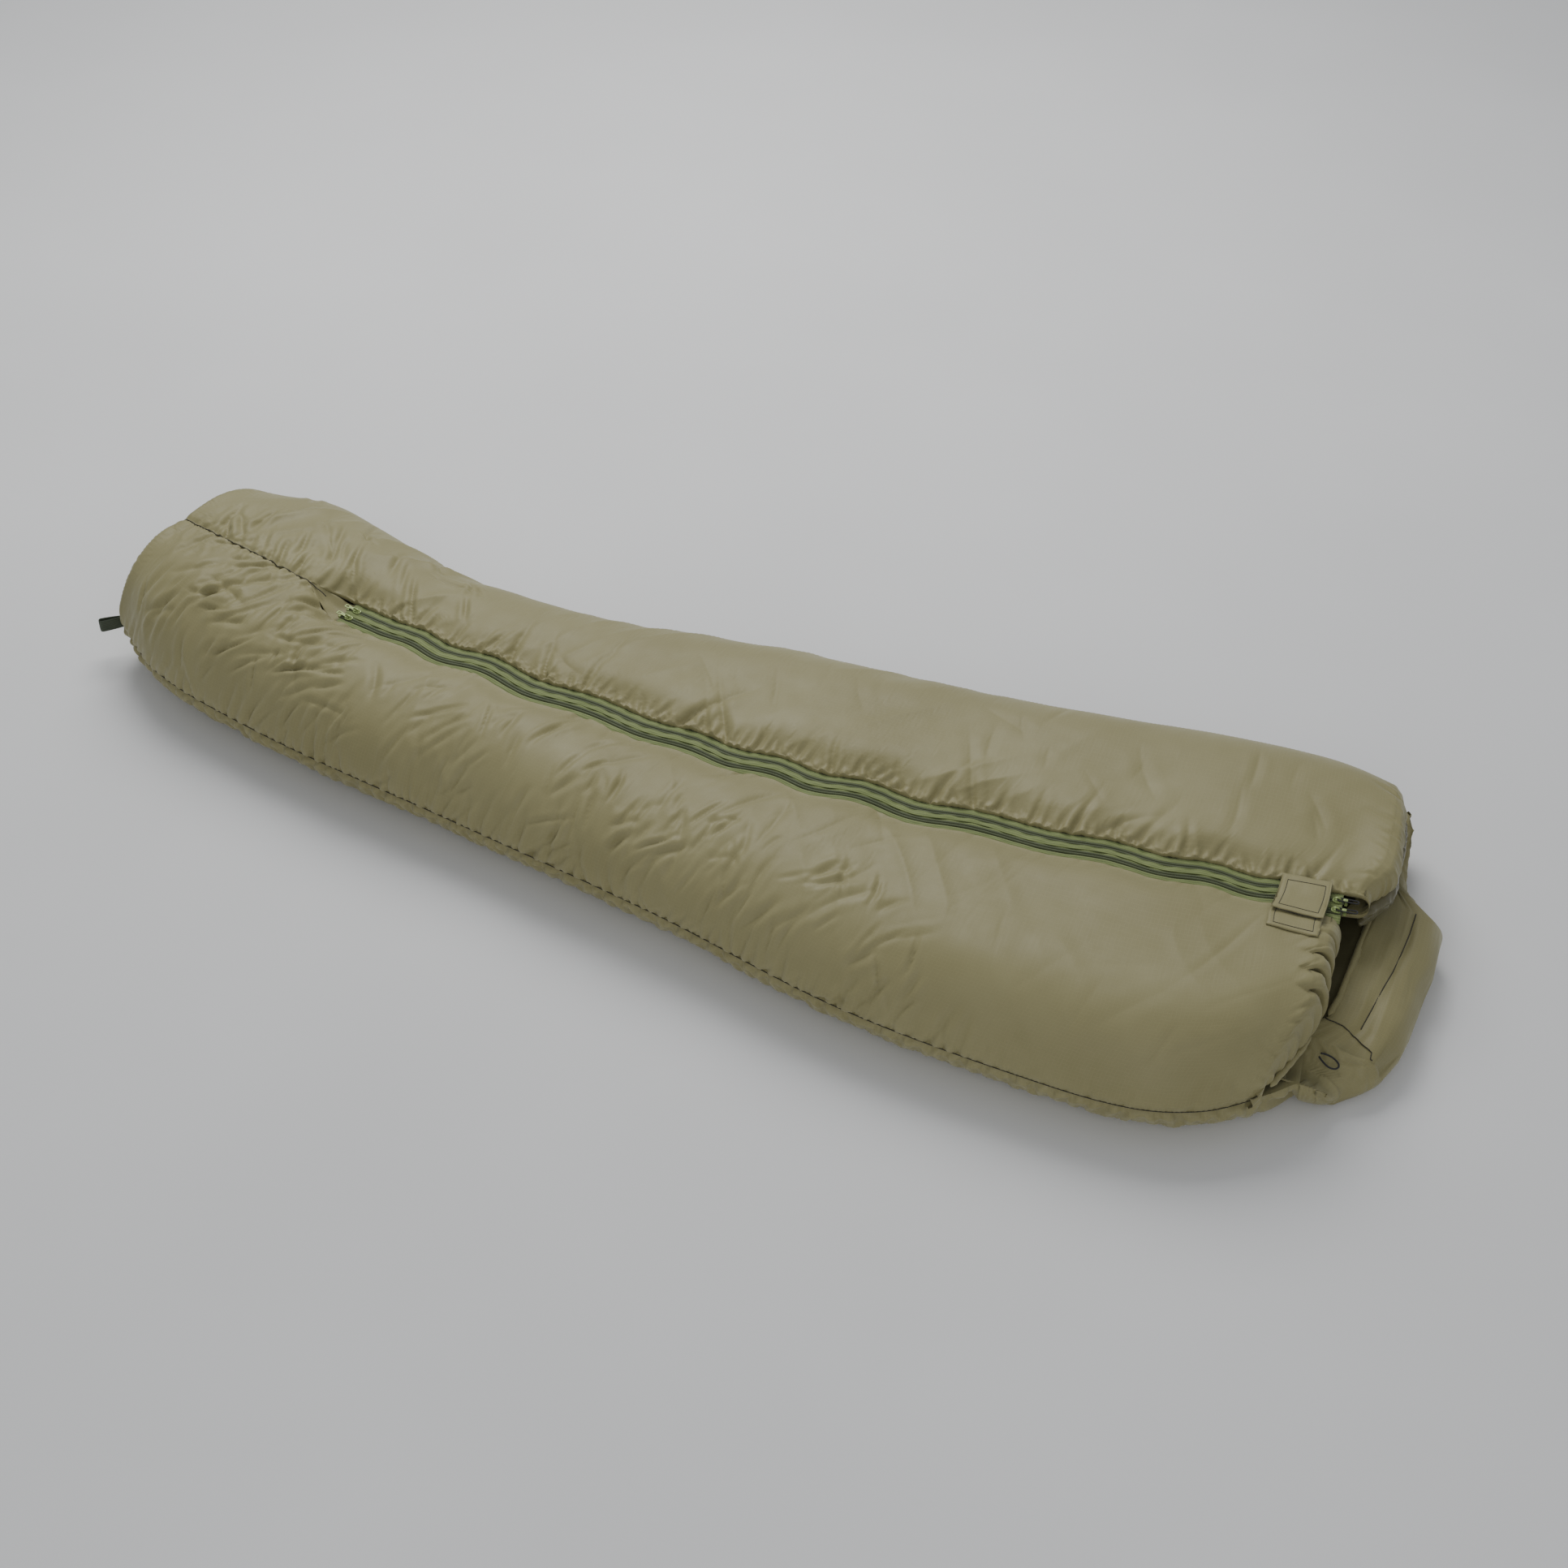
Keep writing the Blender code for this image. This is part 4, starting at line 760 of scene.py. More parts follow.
def base_cloth(s, n, z, points, run, from_foot):
    """The base's outer cloth, settled on its filling and lying on the ground."""
    up = -normals(points)
    from_seam = np.minimum(run, run[:, -1:] - run)
    lower = smooth(z, 0.002, 0.03)
    rest = points + up * base_bumps(s, n, run, from_seam, from_foot, lower)[..., None]
    for c in (0, -1):
        rest[:, c] = seam_line(s[:, c], n[:, c], z[:, c])
    rest[-1] = points[-1]
    more_rows = 0.03 + 0.17 * np.exp(-from_seam / 0.045)
    more_cols = 0.02 + 0.06 * np.exp(-from_foot / 0.03) + 0.02 * lower
    hold = 0.010 + 0.25 * (1.0 - lower)
    x = settle(rest, up, more_rows, more_cols, hold, sewn_edges(s.shape), 77, BASE_TURNS, limit=0.008)
    x[..., 2] = np.maximum(x[..., 2], 0.0)
    return x


def make_base(materials):
    """The base: outer cloth, crumpled lining, and the near edge tucked in at the neck."""
    s, n, z = base_grid(BASE_COLUMNS, BASE_FLAT)
    points = place(s, n, z)
    run, from_foot = run_over(points, 1), run_over(points, 0)
    x = base_cloth(s, n, z, points, run, from_foot)
    rows = np.arange(dome_rows() - 1, len(s))
    lining = (points + normals(points) * WALL)[rows]
    crumple = 0.006 * wrinkles(s[rows], run[rows], 0.3, 61)
    crumple = crumple + 0.004 * noise(s[rows], run[rows], 0.03, 0.05, 62)
    lining[..., 2] += np.abs(crumple) * smooth(s[rows], 0.7, 0.8)
    tuck = neck_tuck(x[:, 0], s[:, 0])
    return mesh_object("base_quilt", [cut(x), cut(lining, 1), cut(tuck)], materials, (0,)), x


def section_loop(count):
    """The foot's whole cross section, round from the near seam over the top and back underneath."""
    end = np.full((1, 1), FOOT_END)
    n_near, z_near = top_section(end, -1, count, count // 2)
    n_far, z_far = top_section(end, 1, count, count // 2)
    n_low, z_low = base_profile(half_width(end, -1), half_width(end, 1), count // 2, BASE_FLAT)
    n = np.concatenate((-n_near[0], n_far[0][::-1], n_low[0][::-1][1:-1]))
    z = np.concatenate((z_near[0], z_far[0][::-1], z_low[0][::-1][1:-1]))
    return n, z


def make_foot_end(materials):
    """The end panel, a shallow dome inside its seam."""
    n, z = section_loop(72)
    rings = 22
    angle = np.linspace(DOME_SEAM, 0.5 * np.pi, rings)[:, None]
    s, dn, dz = dome(n[None], z[None], angle)
    s = np.broadcast_to(s, dn.shape)
    points = place(s, dn, dz)
    run = np.arange(rings)[:, None] / (rings - 1)
    round_run = np.linspace(0.0, 2.0 * np.pi, points.shape[1])[None, :]
    swell = 0.002 * np.sin(np.pi * np.clip(run * 1.6, 0.0, 1.0))
    swell = swell + 0.0035 * run * noise(dn, dz, 0.05, 0.05, 95)
    phase = round_run * 46.0 + 2.0 * noise(round_run, 0, 0.5, 1, 3)
    pucker = 0.0022 * np.exp(-((run / 0.16) ** 2)) * np.sin(phase)
    dent = seam_dent(run, 0.004, 0.05)
    out = -np.asarray(along(FOOT_END))
    points = points + out * (swell + pucker + dent)[..., None]
    points[..., 2] = np.maximum(points[..., 2], 0.0)
    return mesh_object("foot_end_quilt", [cut(points, 0, True)], materials)


def hood_section(y, v):
    """Skin of the hood at y: v is 0 to 1 out along the ground, to 2 round the edge, to 3 back to the rim."""
    high = through(HOOD_HEIGHTS, y)
    radius = high / 2.0
    out = through(HOOD_OUTLINE, y) - radius
    turn = np.clip(v - 1.0, 0.0, 1.0) * np.pi
    x = out + radius * np.sin(turn)
    x = np.where(v < 1.0, NECK_X + (out - NECK_X) * v, x)
    rim = HOOD_RIM - HOOD_TUCK * smooth(-y, 0.105, 0.145)
    x = np.where(v > 2.0, out + (rim - out) * (v - 2.0), x)
    return x, radius * (1.0 - np.cos(turn))


def hood_creases(x, y, v):
    """Small puckers off the hood's cross seam and soft creases over its near corner."""
    rng = np.random.default_rng(306)
    marks = loose_marks(rng, 60, (1.0, 1.10), (-0.20, 0.20), (0.02, 0.06), (0.0025, 0.005),
                        (0.0006, 0.0018), 0.2, 0.9)
    marks += loose_marks(rng, 50, (1.045, 1.065), (-0.12, 0.16), (0.012, 0.035), (0.002, 0.0035),
                         (0.0008, 0.002), 1.5, 0.3)
    order = np.argsort(y[0])
    field = np.zeros(x.shape)
    field[:, order] = creases(y[:, order].T, x[:, order].T, [(b, a, *rest) for a, b, *rest in marks]).T
    return field * smooth(v, 1.2, 1.5)


def crossing(line, value):
    """The point of a line of points where the value on them passes through nothing."""
    k = int(np.argmin(np.abs(value[:-1] + value[1:])))
    share = np.clip(value[k] / (value[k] - value[k + 1] + 1e-12), 0.0, 1.0)
    return line[k] * (1.0 - share) + line[k + 1] * share


def hood_plan(columns):
    """The hood's grid: offset y of each column, how full the hood is there, and v down the rows."""
    side = np.linspace(0.0, 0.5 * np.pi, BASE_COLUMNS)
    t = np.linspace(0.0, 1.0, columns - 2 * BASE_COLUMNS + 2)[1:-1]
    near, far = HOOD_NEAR + 0.045, HOOD_FAR - 0.035
    y = np.concatenate((near - 0.060 * np.cos(side), near + (far - near) * t,
                        (far + 0.045 * np.cos(side))[::-1]))
    ends = np.sin(side) ** HOOD_POWER
    full = np.concatenate((ends, np.ones(len(t)), ends[::-1]))[None, :]
    parts = [np.linspace(k, k + 1, HOOD_STEPS)[:-1] for k in (0, 1)] + [np.linspace(2, 3, HOOD_STEPS)]
    return y, full, np.concatenate(parts)[:, None]


def hood_grid(base_end):
    """Rest shape of the hood, joined to the base's last row: points, y, v, fullness, half height, join."""
    y, full, v = hood_plan(len(base_end))
    y = np.repeat(y[None, :], len(v), 0)
    within = np.clip(y, HOOD_NEAR, HOOD_FAR)
    x, z = hood_section(within, v)
    middle = 0.5 * through(HOOD_HEIGHTS, within)
    z = middle + (z - middle) * full
    pull_in = 1.0 - full ** 2
    x = x - pull_in * 0.020 * smooth(v, 0.6, 1.5)
    y = y + HOOD_FLARE * smooth(y, 0.10, 0.21) * (1.0 - smooth(x, 0.99, 1.050))
    points = np.stack((x + CENTRING[0], y + CENTRING[1], z), -1)
    neck = base_end[:, 0].min()
    near_neck = 1.0 - smooth(points[..., 0], neck, neck + 0.075)
    join = near_neck * np.maximum(1.0 - smooth(v, 1.0, 1.6), pull_in ** 2)
    points = points + (base_end[None] - points[:1]) * join[..., None]
    return points, y, v, full, middle, join


def hood_cloth(points, up, v, full, join, off_cross, off_gore):
    """The hood's outer cloth, settled on its filling and lying on the ground."""
    s, w = points[..., 0], points[..., 1]
    on_top = smooth(v, 1.2, 1.6)
    from_cross = np.abs(off_cross) + 0.2 * (1.0 - on_top)
    from_gore = np.abs(off_gore) + 0.2 * (1.0 - on_top)
    from_cross = from_cross + 0.2 * smooth(-w, 0.105, 0.125)
    from_side = np.abs(np.arcsin(np.clip(full, 0, 1) ** (1 / HOOD_POWER)) / (0.5 * np.pi)) * 0.07
    soft = smooth(from_side, 0.0, 0.03) * (1.0 - join)
    bumps = soft * (0.004 * wrinkles(s, w, 1.2, 81) + 0.003 * noise(s, w, 0.06, 0.08, 82))
    bumps = bumps + seam_dent(from_cross, 0.004, 0.005) + seam_dent(from_gore, 0.004, 0.005)
    bumps = bumps + seam_dent(from_side, 0.003, 0.006) + hood_creases(s, w, v) * (1.0 - join)
    more_rows = 0.04 + 0.16 * np.exp(-from_side / 0.03)
    more_cols = 0.02 + 0.05 * np.exp(-from_cross / 0.022) * on_top + 0.06 * np.exp(-((3.0 - v) / 0.12))
    hold = 0.03 + 0.10 * np.exp(-((from_cross / 0.008) ** 2)) * on_top
    rest = points + up * bumps[..., None]
    cloth = settle(rest, up, more_rows, more_cols, hold, sewn_edges(s.shape), 78, HOOD_TURNS, limit=0.008)
    cloth[..., 2] = np.maximum(cloth[..., 2], 0.0)
    return cloth


def hood_inside(cloth, inner, y, columns):
    """The hood's lining, its lip at the rim, and the baffle that runs in under the collars."""
    inner[..., 2] = np.maximum(inner[..., 2], 0.002)
    lip = np.stack((cloth[-1], 0.5 * (cloth[-1] + inner[-1]) - np.array((0.003, 0, 0)), inner[-1]))
    reach = np.linspace(0.0, 1.0, 14)[:, None]
    crumple = 0.004 * noise(reach * BAFFLE, y[:1], 0.018, 0.022, 83) * smooth(reach, 0.0, 0.3)
    baffle = cloth[-1][None] - np.array((BAFFLE, 0, 0)) * reach[..., None]
    baffle[..., 2] += -0.004 - 0.012 * reach + crumple
    return [cut(sheet[:, columns], 1) for sheet in (inner, lip, baffle)]


def hood_seams(cloth, points, y, v, off_cross, off_gore):
    """Lines along the cross seam and the gore seam, on the settled cloth."""
    top = v[:, 0] > 1.5
    shown = np.where((y[0] > HOOD_CROSS[0][0] + 0.002) & (y[0] < HOOD_CROSS[-1][0] + 0.008))[0]
    cross_line = [crossing(cloth[top, c], off_cross[top, c]) for c in shown]
    middle = cloth.shape[1] // 2
    rows = np.where(top & (points[:, middle, 0] < 1.088 + CENTRING[0]))[0]
    near_side = slice(BASE_COLUMNS // 2, middle)
    gore_line = [crossing(cloth[r, near_side], off_gore[r, near_side]) for r in rows]
    return np.array(cross_line), np.array(gore_line)


def make_hood(materials, base_end):
    """The hood: one cloth on from the base's last row, out, round its edge and back over to its rim."""
    points, y, v, full, middle, join = hood_grid(base_end)
    up = -normals(points)
    s, w = points[..., 0], points[..., 1]
    off_cross = s - (through(HOOD_CROSS, w - CENTRING[1]) + CENTRING[0])
    off_gore = w - CENTRING[1] - through(HOOD_GORE, s - CENTRING[0])
    cloth = hood_cloth(points, up, v, full, join, off_cross, off_gore)
    inner = points - up * np.minimum(0.012, 0.25 * middle[..., None])
    flat_part = np.where(full[0] > 0.75)[0]
    obj = mesh_object("hood_quilt", [cut(cloth)] + hood_inside(cloth, inner, y, flat_part), materials, (0,))
    cross_line, gore_line = hood_seams(cloth, points, y, v, off_cross, off_gore)
    return obj, cross_line, gore_line, cloth[-1]


# ---------------------------------------------------------------- seams


def resample(path, step):
    """Even points along a path, about a step apart."""
    path = np.asarray(path, float)
    run = np.concatenate(([0.0], np.cumsum(np.linalg.norm(np.diff(path, axis=0), axis=1))))
    at = np.linspace(0.0, run[-1], max(int(run[-1] / step), 2))
    return np.stack([np.interp(at, run, path[:, k]) for k in range(3)], 1)


def stitches(name, paths, material, body, radius=0.0008, pitch=0.0042):
    """Sewing thread along each path, thick in the middle of a stitch and thin where it dives in."""
    sheets = []
    for path in paths:
        fine = resample(path, pitch / 4.0)
        swell = 0.72 + 0.28 * np.abs(np.sin(np.arange(len(fine)) * np.pi / 4.0 + 0.2))
        tube = capped(tube_sheet(fine, radius * swell, 5))
        sheets.append((tube, None, 0, True))
    obj = mesh_object(name, sheets, [material])
    if body:
        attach(obj, body)
    return obj


# ---------------------------------------------------------------- zips


def zip_line(s, n, lift=0.0, share=1.0):
    """Points of the zips' band, wandering with the soft bag."""
    side, rise = sway(s)
    return place(s, n + side * share, ZIP_HEIGHT + lift + rise * share)


def coil_half(offset, start, end):
    """Half a chain: a ridge of fine turns."""
    pitch = 0.0019
    per_turn = 4
    s = np.arange(start, end, pitch / per_turn)
    ribs = 1.0 + 0.11 * np.cos(2.0 * np.pi * s / pitch)
    path = zip_line(s, offset, 0.0006)
    return capped(tube_sheet(path, 0.00235 * ribs, 7, 0.80))


def tape_sheet(start, end, low_n, high_n, lift, seed, wave=0.0, count=9, droop=0.0):
    """A woven tape between two offsets, with a slight ripple."""
    s = np.arange(start, end, 0.004)[:, None]
    t = np.linspace(0.0, 1.0, count)[None, :]
    low = low_n + wave * (np.sin(s * 31.0 + seed) + 0.6 * noise(s, 0.0, 0.045, 1.0, seed))
    n = low * (1.0 - t) + high_n * t
    ripple = 0.0007 * np.sin(2 * np.pi * s / 0.034 + seed) * np.sin(np.pi * t)
    ripple = ripple + 0.0004 * noise(s, n, 0.02, 0.006, seed)
    return zip_line(s, n, lift + ripple - droop * (1.0 - t) ** 2)


def thick_sheet(sheet, thick):
    """The same grid with a face on both sides and closed long edges, as one closed ring per row."""
    down = sheet - np.array((0.0, 0.0, thick))
    ring = np.concatenate((sheet, down[:, ::-1]), 1)
    return capped(ring)


def stand_for_zip(obj, slot, moves, *nodes):
    """Hides the nodes a piece of the zips stands for; one sewn to the far flap is tied to no body and has its
    transform baked in.
    """
    stand_for(obj, slot, None if moves else "bag", *nodes)
    if moves:
        place(-0.735, 0.02, 0.16)
        place(-0.61, 0.02, 0.16)
        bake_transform(obj)


def make_zips(look):
    """Both zips: four halves of chain and three tapes, each running the whole visible length."""
    start, end = COIL_START, COIL_END
    for zip_name, middle in (("b", -CHAIN_MIDDLE), ("a", CHAIN_MIDDLE)):
        for half_name, way in (("near", -1), ("far", 1)):
            chain = coil_half(middle + way * CHAIN_HALF, start, end)
            half = f"{zip_name}_{half_name}_half"
            obj = mesh_object(f"chain_{half}", [cut(chain, 0, True)], [look["coil"]])
            moves = half == "a_far_half"
            stand_for_zip(obj, "dark_green_coil", moves, f"coil_{half}",
                          *(["coil_a_foot_stub"] if moves else []))
    near = tape_sheet(start, end, -0.0300, -0.0155 - TAPE_GAP, 0.0008, 21, 0.0006, 7, 0.0040)
    lower = tape_sheet(start, end, -0.0085, 0.0035, 0.0002, 22)
    upper = tape_sheet(start, end, -0.0030, 0.0085 - TAPE_GAP, 0.0016, 23, 0.0012)
    far = tape_sheet(start, end, 0.0290, 0.0155, 0.0006, 24, 0.0004, 7, 0.0020)[:, ::-1]
    for name, sheets in (("near", [near]), ("centre", [lower, upper]), ("far", [far])):
        grids = [cut(thick_sheet(x, TAPE_THICK), 0, True) for x in sheets]
        obj = mesh_object(f"zip_tape_{name}", grids, [look["tape"]])
        moves = name == "far"
        stand_for_zip(obj, "green_zip_tape", moves, f"zip_tape_{name}",
                      *(["zip_tape_foot_stub"] if moves else []))


def make_draft_tube(material):
    """The padded tube behind the zips."""
    s = np.arange(-0.728, 0.838, 0.006)
    side, rise = sway(s)
    path = place(s, -0.002 + side, ZIP_HEIGHT - 0.018 + rise)
    angle = np.arange(24) * 2 * np.pi / 24
    out = np.asarray(across(0.0))
    puff = 1.0 + 0.06 * noise(s[:, None], angle[None, :], 0.03, 0.8, 41)
    turn = angle[None, :, None]
    ring = 0.022 * np.cos(turn) * out + 0.010 * np.sin(turn) * UP
    sheet = capped(path[:, None] + ring * puff[..., None])
    obj = mesh_object("draft_tube_quilt", [cut(sheet, 0, True)], [material])
    stand_for(obj, "dark_olive_lining", "bag", "draft_tube")


def make_gusset(material):
    """The recessed triangle where the closed seam opens into the zips."""
    rows, cols = 26, 15
    t = np.linspace(0.0, 1.0, rows)[:, None]
    u = np.linspace(-1.0, 1.0, cols)[None, :]
    s = -0.846 + 0.076 * t + 0 * u
    n = u * (0.002 + 0.026 * t)
    level = ZIP_HEIGHT - 0.002 + (SEAM_LEVEL - ZIP_HEIGHT) * (1.0 - smooth(s, SEAM_END, GUSSET_END))
    z = level - 0.005 * (1 - u ** 2) * smooth(t, 0.0, 0.5) + 0.0022 * noise(s, n, 0.018, 0.012, 42)
    obj = mesh_object("gusset_cloth", [cut(thick_sheet(place(s, n, z), 0.001), 0, True)], [material])
    stand_for(obj, "olive_nylon", "bag", "zip_gusset")


# ---------------------------------------------------------------- sliders, pulls and small hardware


def zip_frame(s, n, z, turned=False):
    """Matrix that lays a part along the zips, towards the head or turned to the foot."""
    x, y = along(s), across(s)
    if turned:
        x, y = -x, -y
    matrix = Matrix((x, y, Vector((0, 0, 1)))).transposed().to_4x4()
    matrix.translation = Vector(place(s, n, z))
    return matrix


def outline_plate(mesh, outline, low, high, holes=()):
    """Adds a flat plate with the given outline to a bmesh; a hole is a rectangle (x0, x1, y half)."""
    data = bpy.data.curves.new("outline", "CURVE")
    data.dimensions = "2D"
    data.fill_mode = "BOTH"
    data.extrude = (high - low) / 2.0
    for points in [outline] + list(holes):
        spline = data.splines.new("POLY")
        spline.points.add(len(points) - 1)
        for corner, (x, y) in zip(spline.points, points):
            corner.co = (x, y, 0.0, 1.0)
        spline.use_cyclic_u = True
    temporary = bpy.data.objects.new("outline", data)
    bpy.context.scene.collection.objects.link(temporary)
    bpy.context.view_layer.update()
    made = bpy.data.meshes.new_from_object(temporary.evaluated_get(bpy.context.evaluated_depsgraph_get()))
    made.transform(Matrix.Translation((0, 0, (low + high) / 2.0)))
    mesh.from_mesh(made)
    bpy.data.objects.remove(temporary, do_unlink=True)
    bpy.data.meshes.remove(made)


def rounded(points, radius=0.0008, steps=3):
    """An outline with its corners rounded."""
    made = []
    count = len(points)
    for i in range(count):
        a, b, c = (np.array(points[(i + k) % count], float) for k in (-1, 0, 1))
        u, v = a - b, c - b
        r = min(radius, 0.45 * np.linalg.norm(u), 0.45 * np.linalg.norm(v))
        p, q = b + u / np.linalg.norm(u) * r, b + v / np.linalg.norm(v) * r
        for t in np.linspace(0.0, 1.0, steps):
            made.append(tuple((1 - t) ** 2 * p + 2 * t * (1 - t) * b + t * t * q))
    return made


def mesh_from(mesh, name, material, bevel=0.00025):
    """An object from a bmesh, with its edges softened."""
    bmesh.ops.remove_doubles(mesh, verts=mesh.verts, dist=1e-6)
    bmesh.ops.recalc_face_normals(mesh, faces=mesh.faces)
    data = bpy.data.meshes.new(name)
    mesh.to_mesh(data)
    mesh.free()
    data.materials.append(material)
    obj = bpy.data.objects.new(name, data)
    bpy.context.scene.collection.objects.link(obj)
    soften = obj.modifiers.new("soften", "BEVEL")
    soften.width = bevel
    soften.segments = 2
    soften.limit_method = "ANGLE"
    data.shade_smooth()
    data.set_sharp_from_angle(angle=math.radians(35))
    return obj


def slider_body(name, material):
    """A coil slider: a nosed plate above and below the chain, a web between them and an arched bridge."""
    mesh = bmesh.new()
    plate = rounded([(-0.0068, -0.0030), (-0.0030, -0.0050), (0.0030, -0.0054), (0.0068, -0.0044),
                     (0.0050, 0.0), (0.0068, 0.0044), (0.0030, 0.0054), (-0.0030, 0.0050),
                     (-0.0068, 0.0030)], 0.0014)
    outline_plate(mesh, plate, 0.0024, 0.0037)
    outline_plate(mesh, plate, -0.0032, -0.0020)
    web = rounded([(-0.0015, -0.0003), (0.0045, -0.0003), (0.0045, 0.0003), (-0.0015, 0.0003)], 0.0002)
    outline_plate(mesh, web, -0.0021, 0.0025)
    turn = np.linspace(0.0, np.pi, 9)
    arch = [(-0.0052 * math.cos(a), 0.0036 + 0.0050 * math.sin(a) ** 0.6) for a in turn]
    inner = [(-0.0040 * math.cos(a), 0.0036 + 0.0036 * math.sin(a) ** 0.6) for a in turn[::-1]]
    bridge = bmesh.new()
    outline_plate(bridge, arch + inner, -0.0011, 0.0011)
    bmesh.ops.transform(bridge, matrix=Matrix.Rotation(math.pi / 2.0, 4, "X"), verts=bridge.verts)
    data = bpy.data.meshes.new("bridge")
    bridge.to_mesh(data)
    bridge.free()
    mesh.from_mesh(data)
    bpy.data.meshes.remove(data)
    return mesh_from(mesh, name, material)


def metal_pull(name, material):
    """Flat pull: an eye round the bridge, a waist and a windowed end."""
    mesh = bmesh.new()
    body = rounded([(-0.0008, -0.0032), (0.0070, -0.0034), (0.0095, -0.0022), (0.0125, -0.0026),
                    (0.0150, -0.0036),
                    (0.0230, -0.0036), (0.0238, -0.0020), (0.0238, 0.0020), (0.0230, 0.0036),
                    (0.0150, 0.0036),
                    (0.0125, 0.0026), (0.0095, 0.0022), (0.0070, 0.0034), (-0.0008, 0.0032)], 0.0012)
    eye = rounded([(0.0008, -0.0019), (0.0072, -0.0019), (0.0072, 0.0019), (0.0008, 0.0019)], 0.0006)
    window = rounded([(0.0160, -0.0020), (0.0216, -0.0020), (0.0216, 0.0020), (0.0160, 0.0020)], 0.0007)
    outline_plate(mesh, body, -0.0006, 0.0006, (eye, window))
    return mesh_from(mesh, name, material)


def cord_pull(name, cord, metal):
    """A loop of black cord through the bridge, held by a small metal ferrule."""
    half, length = 0.0028, 0.0295
    turn = np.linspace(-0.5 * np.pi, 0.5 * np.pi, 9)
    root = [(half - half * math.cos(a), half * math.sin(a)) for a in turn]
    end = [(length - half + half * math.cos(a), half * math.sin(a)) for a in turn[::-1]]
    loop = np.array(root + end + root[:1])
    squeeze = 1.0 - 0.45 * np.exp(-(((loop[:, 0] - 0.011) / 0.004) ** 2))
    path = resample(np.stack((loop[:, 0], loop[:, 1] * squeeze, np.zeros(len(loop))), 1), 0.0008)
    braid = 0.00105 * (1.0 + 0.07 * np.cos(np.arange(len(path)) * 1.9))
    tube = tube_sheet(path, braid, 7)
    a = np.linspace(0.008, 0.0145, 9)
    ferrule_path = np.stack((a, 0 * a, 0 * a), 1)
    bulge = 0.0027 + 0.0005 * np.sin(np.linspace(0, np.pi, 9))
    ferrule = capped(tube_sheet(ferrule_path, bulge, 12, 0.62))
    return mesh_object(name, [cut(tube, 0, True), (ferrule, None, 1, True)], [cord, metal])


def make_sliders(look):
    """A slider at each end of each zip: cord pulls at the head, metal ones at the foot."""
    for zip_name, n in (("a", ZIP_OFFSET), ("b", -ZIP_OFFSET)):
        for end, s in (("head", HEAD_SLIDER), ("foot", FOOT_SLIDER)):
            node = f"slider_{zip_name}_{end}"
            slider = slider_body(f"{node}_body", look["slider"])
            slider.matrix_world = zip_frame(s, n, ZIP_HEIGHT, end == "foot")
            stand_for(slider, "light_green_slider", node, node)
            pull = f"pull_{zip_name}_{end}"
            if end == "head":
                piece = cord_pull(f"{pull}_cord", look["cord"], look["slider"])
            else:
                piece = metal_pull(f"{pull}_tab", look["slider"])
            piece.matrix_world = zip_frame(s, n, ZIP_HEIGHT + 0.0054, end == "foot")
            stand_for(piece, "black_cord" if end == "head" else "light_green_slider", pull, pull)


# ---------------------------------------------------------------- closure tab


def height_over(cloth, points):
    """Height of the cloth near each point, by its nearest grid points."""
    spread = cloth.reshape(-1, 3)
    made = np.full(points.shape[:-1], -1.0)
    flat = made.reshape(-1)
    for i, p in enumerate(points.reshape(-1, 3)):
        d = (spread[:, 0] - p[0]) ** 2 + (spread[:, 1] - p[1]) ** 2
        near = d < 0.006 ** 2
        flat[i] = spread[near, 2].max() if near.any() else -1.0
    return flat.reshape(made.shape)


def tab_piece(name, corners, lift, cloth, material, seed, stitched=True, floor=0.0):
    """A doubled tab of shell cloth between four corners (s, n), lying over the quilt and the zips."""
    rows, cols = 26, 22
    t, u = np.linspace(0, 1, rows)[:, None], np.linspace(0, 1, cols)[None, :]
    (a, b, c, d) = [np.array(p) for p in corners]
    sn = ((a * (1 - t[..., None]) + b * t[..., None]) * (1 - u[..., None])
          + (d * (1 - t[..., None]) + c * t[..., None]) * u[..., None])
    s, n = sn[..., 0], sn[..., 1]
    s = s + 0.0012 * np.sin(5.0 * u + seed)
    base = place(s, n, 0.0)
    z = np.maximum(height_over(cloth, base), floor)
    for _ in range(10):
        z[1:-1, 1:-1] = np.maximum(z[1:-1, 1:-1], 0.25 * around(z))
        z[1:-1, 1:-1] = 0.5 * z[1:-1, 1:-1] + 0.125 * around(z)
    z = z + lift + 0.0007 * noise(s, n, 0.018, 0.016, seed)
    sheet = place(s, n, z)
    edge_run = np.minimum(np.minimum(t, 1 - t) * 0.07, np.minimum(u, 1 - u) * 0.07)
    puff = 0.0009 * smooth(edge_run, 0.0, 0.004) - 0.0005 * np.exp(-(((edge_run - 0.009) / 0.002) ** 2))
    top = sheet + UP * puff[..., None]
    obj = mesh_object(name, [cut(thick_sheet(top, 0.0014), 0, True)], [material])
    box = [(3, 3), (rows - 4, 3), (rows - 4, cols - 4), (3, cols - 4), (3, 3)] if stitched else []
    path = []
    for (i0, j0), (i1, j1) in zip(box, box[1:]):
        for k in np.linspace(0, 1, 12):
            i, j = int(round(i0 + (i1 - i0) * k)), int(round(j0 + (j1 - j0) * k))
            path.append(top[i, j] + 0.0003 * UP)
    return obj, np.array(path)


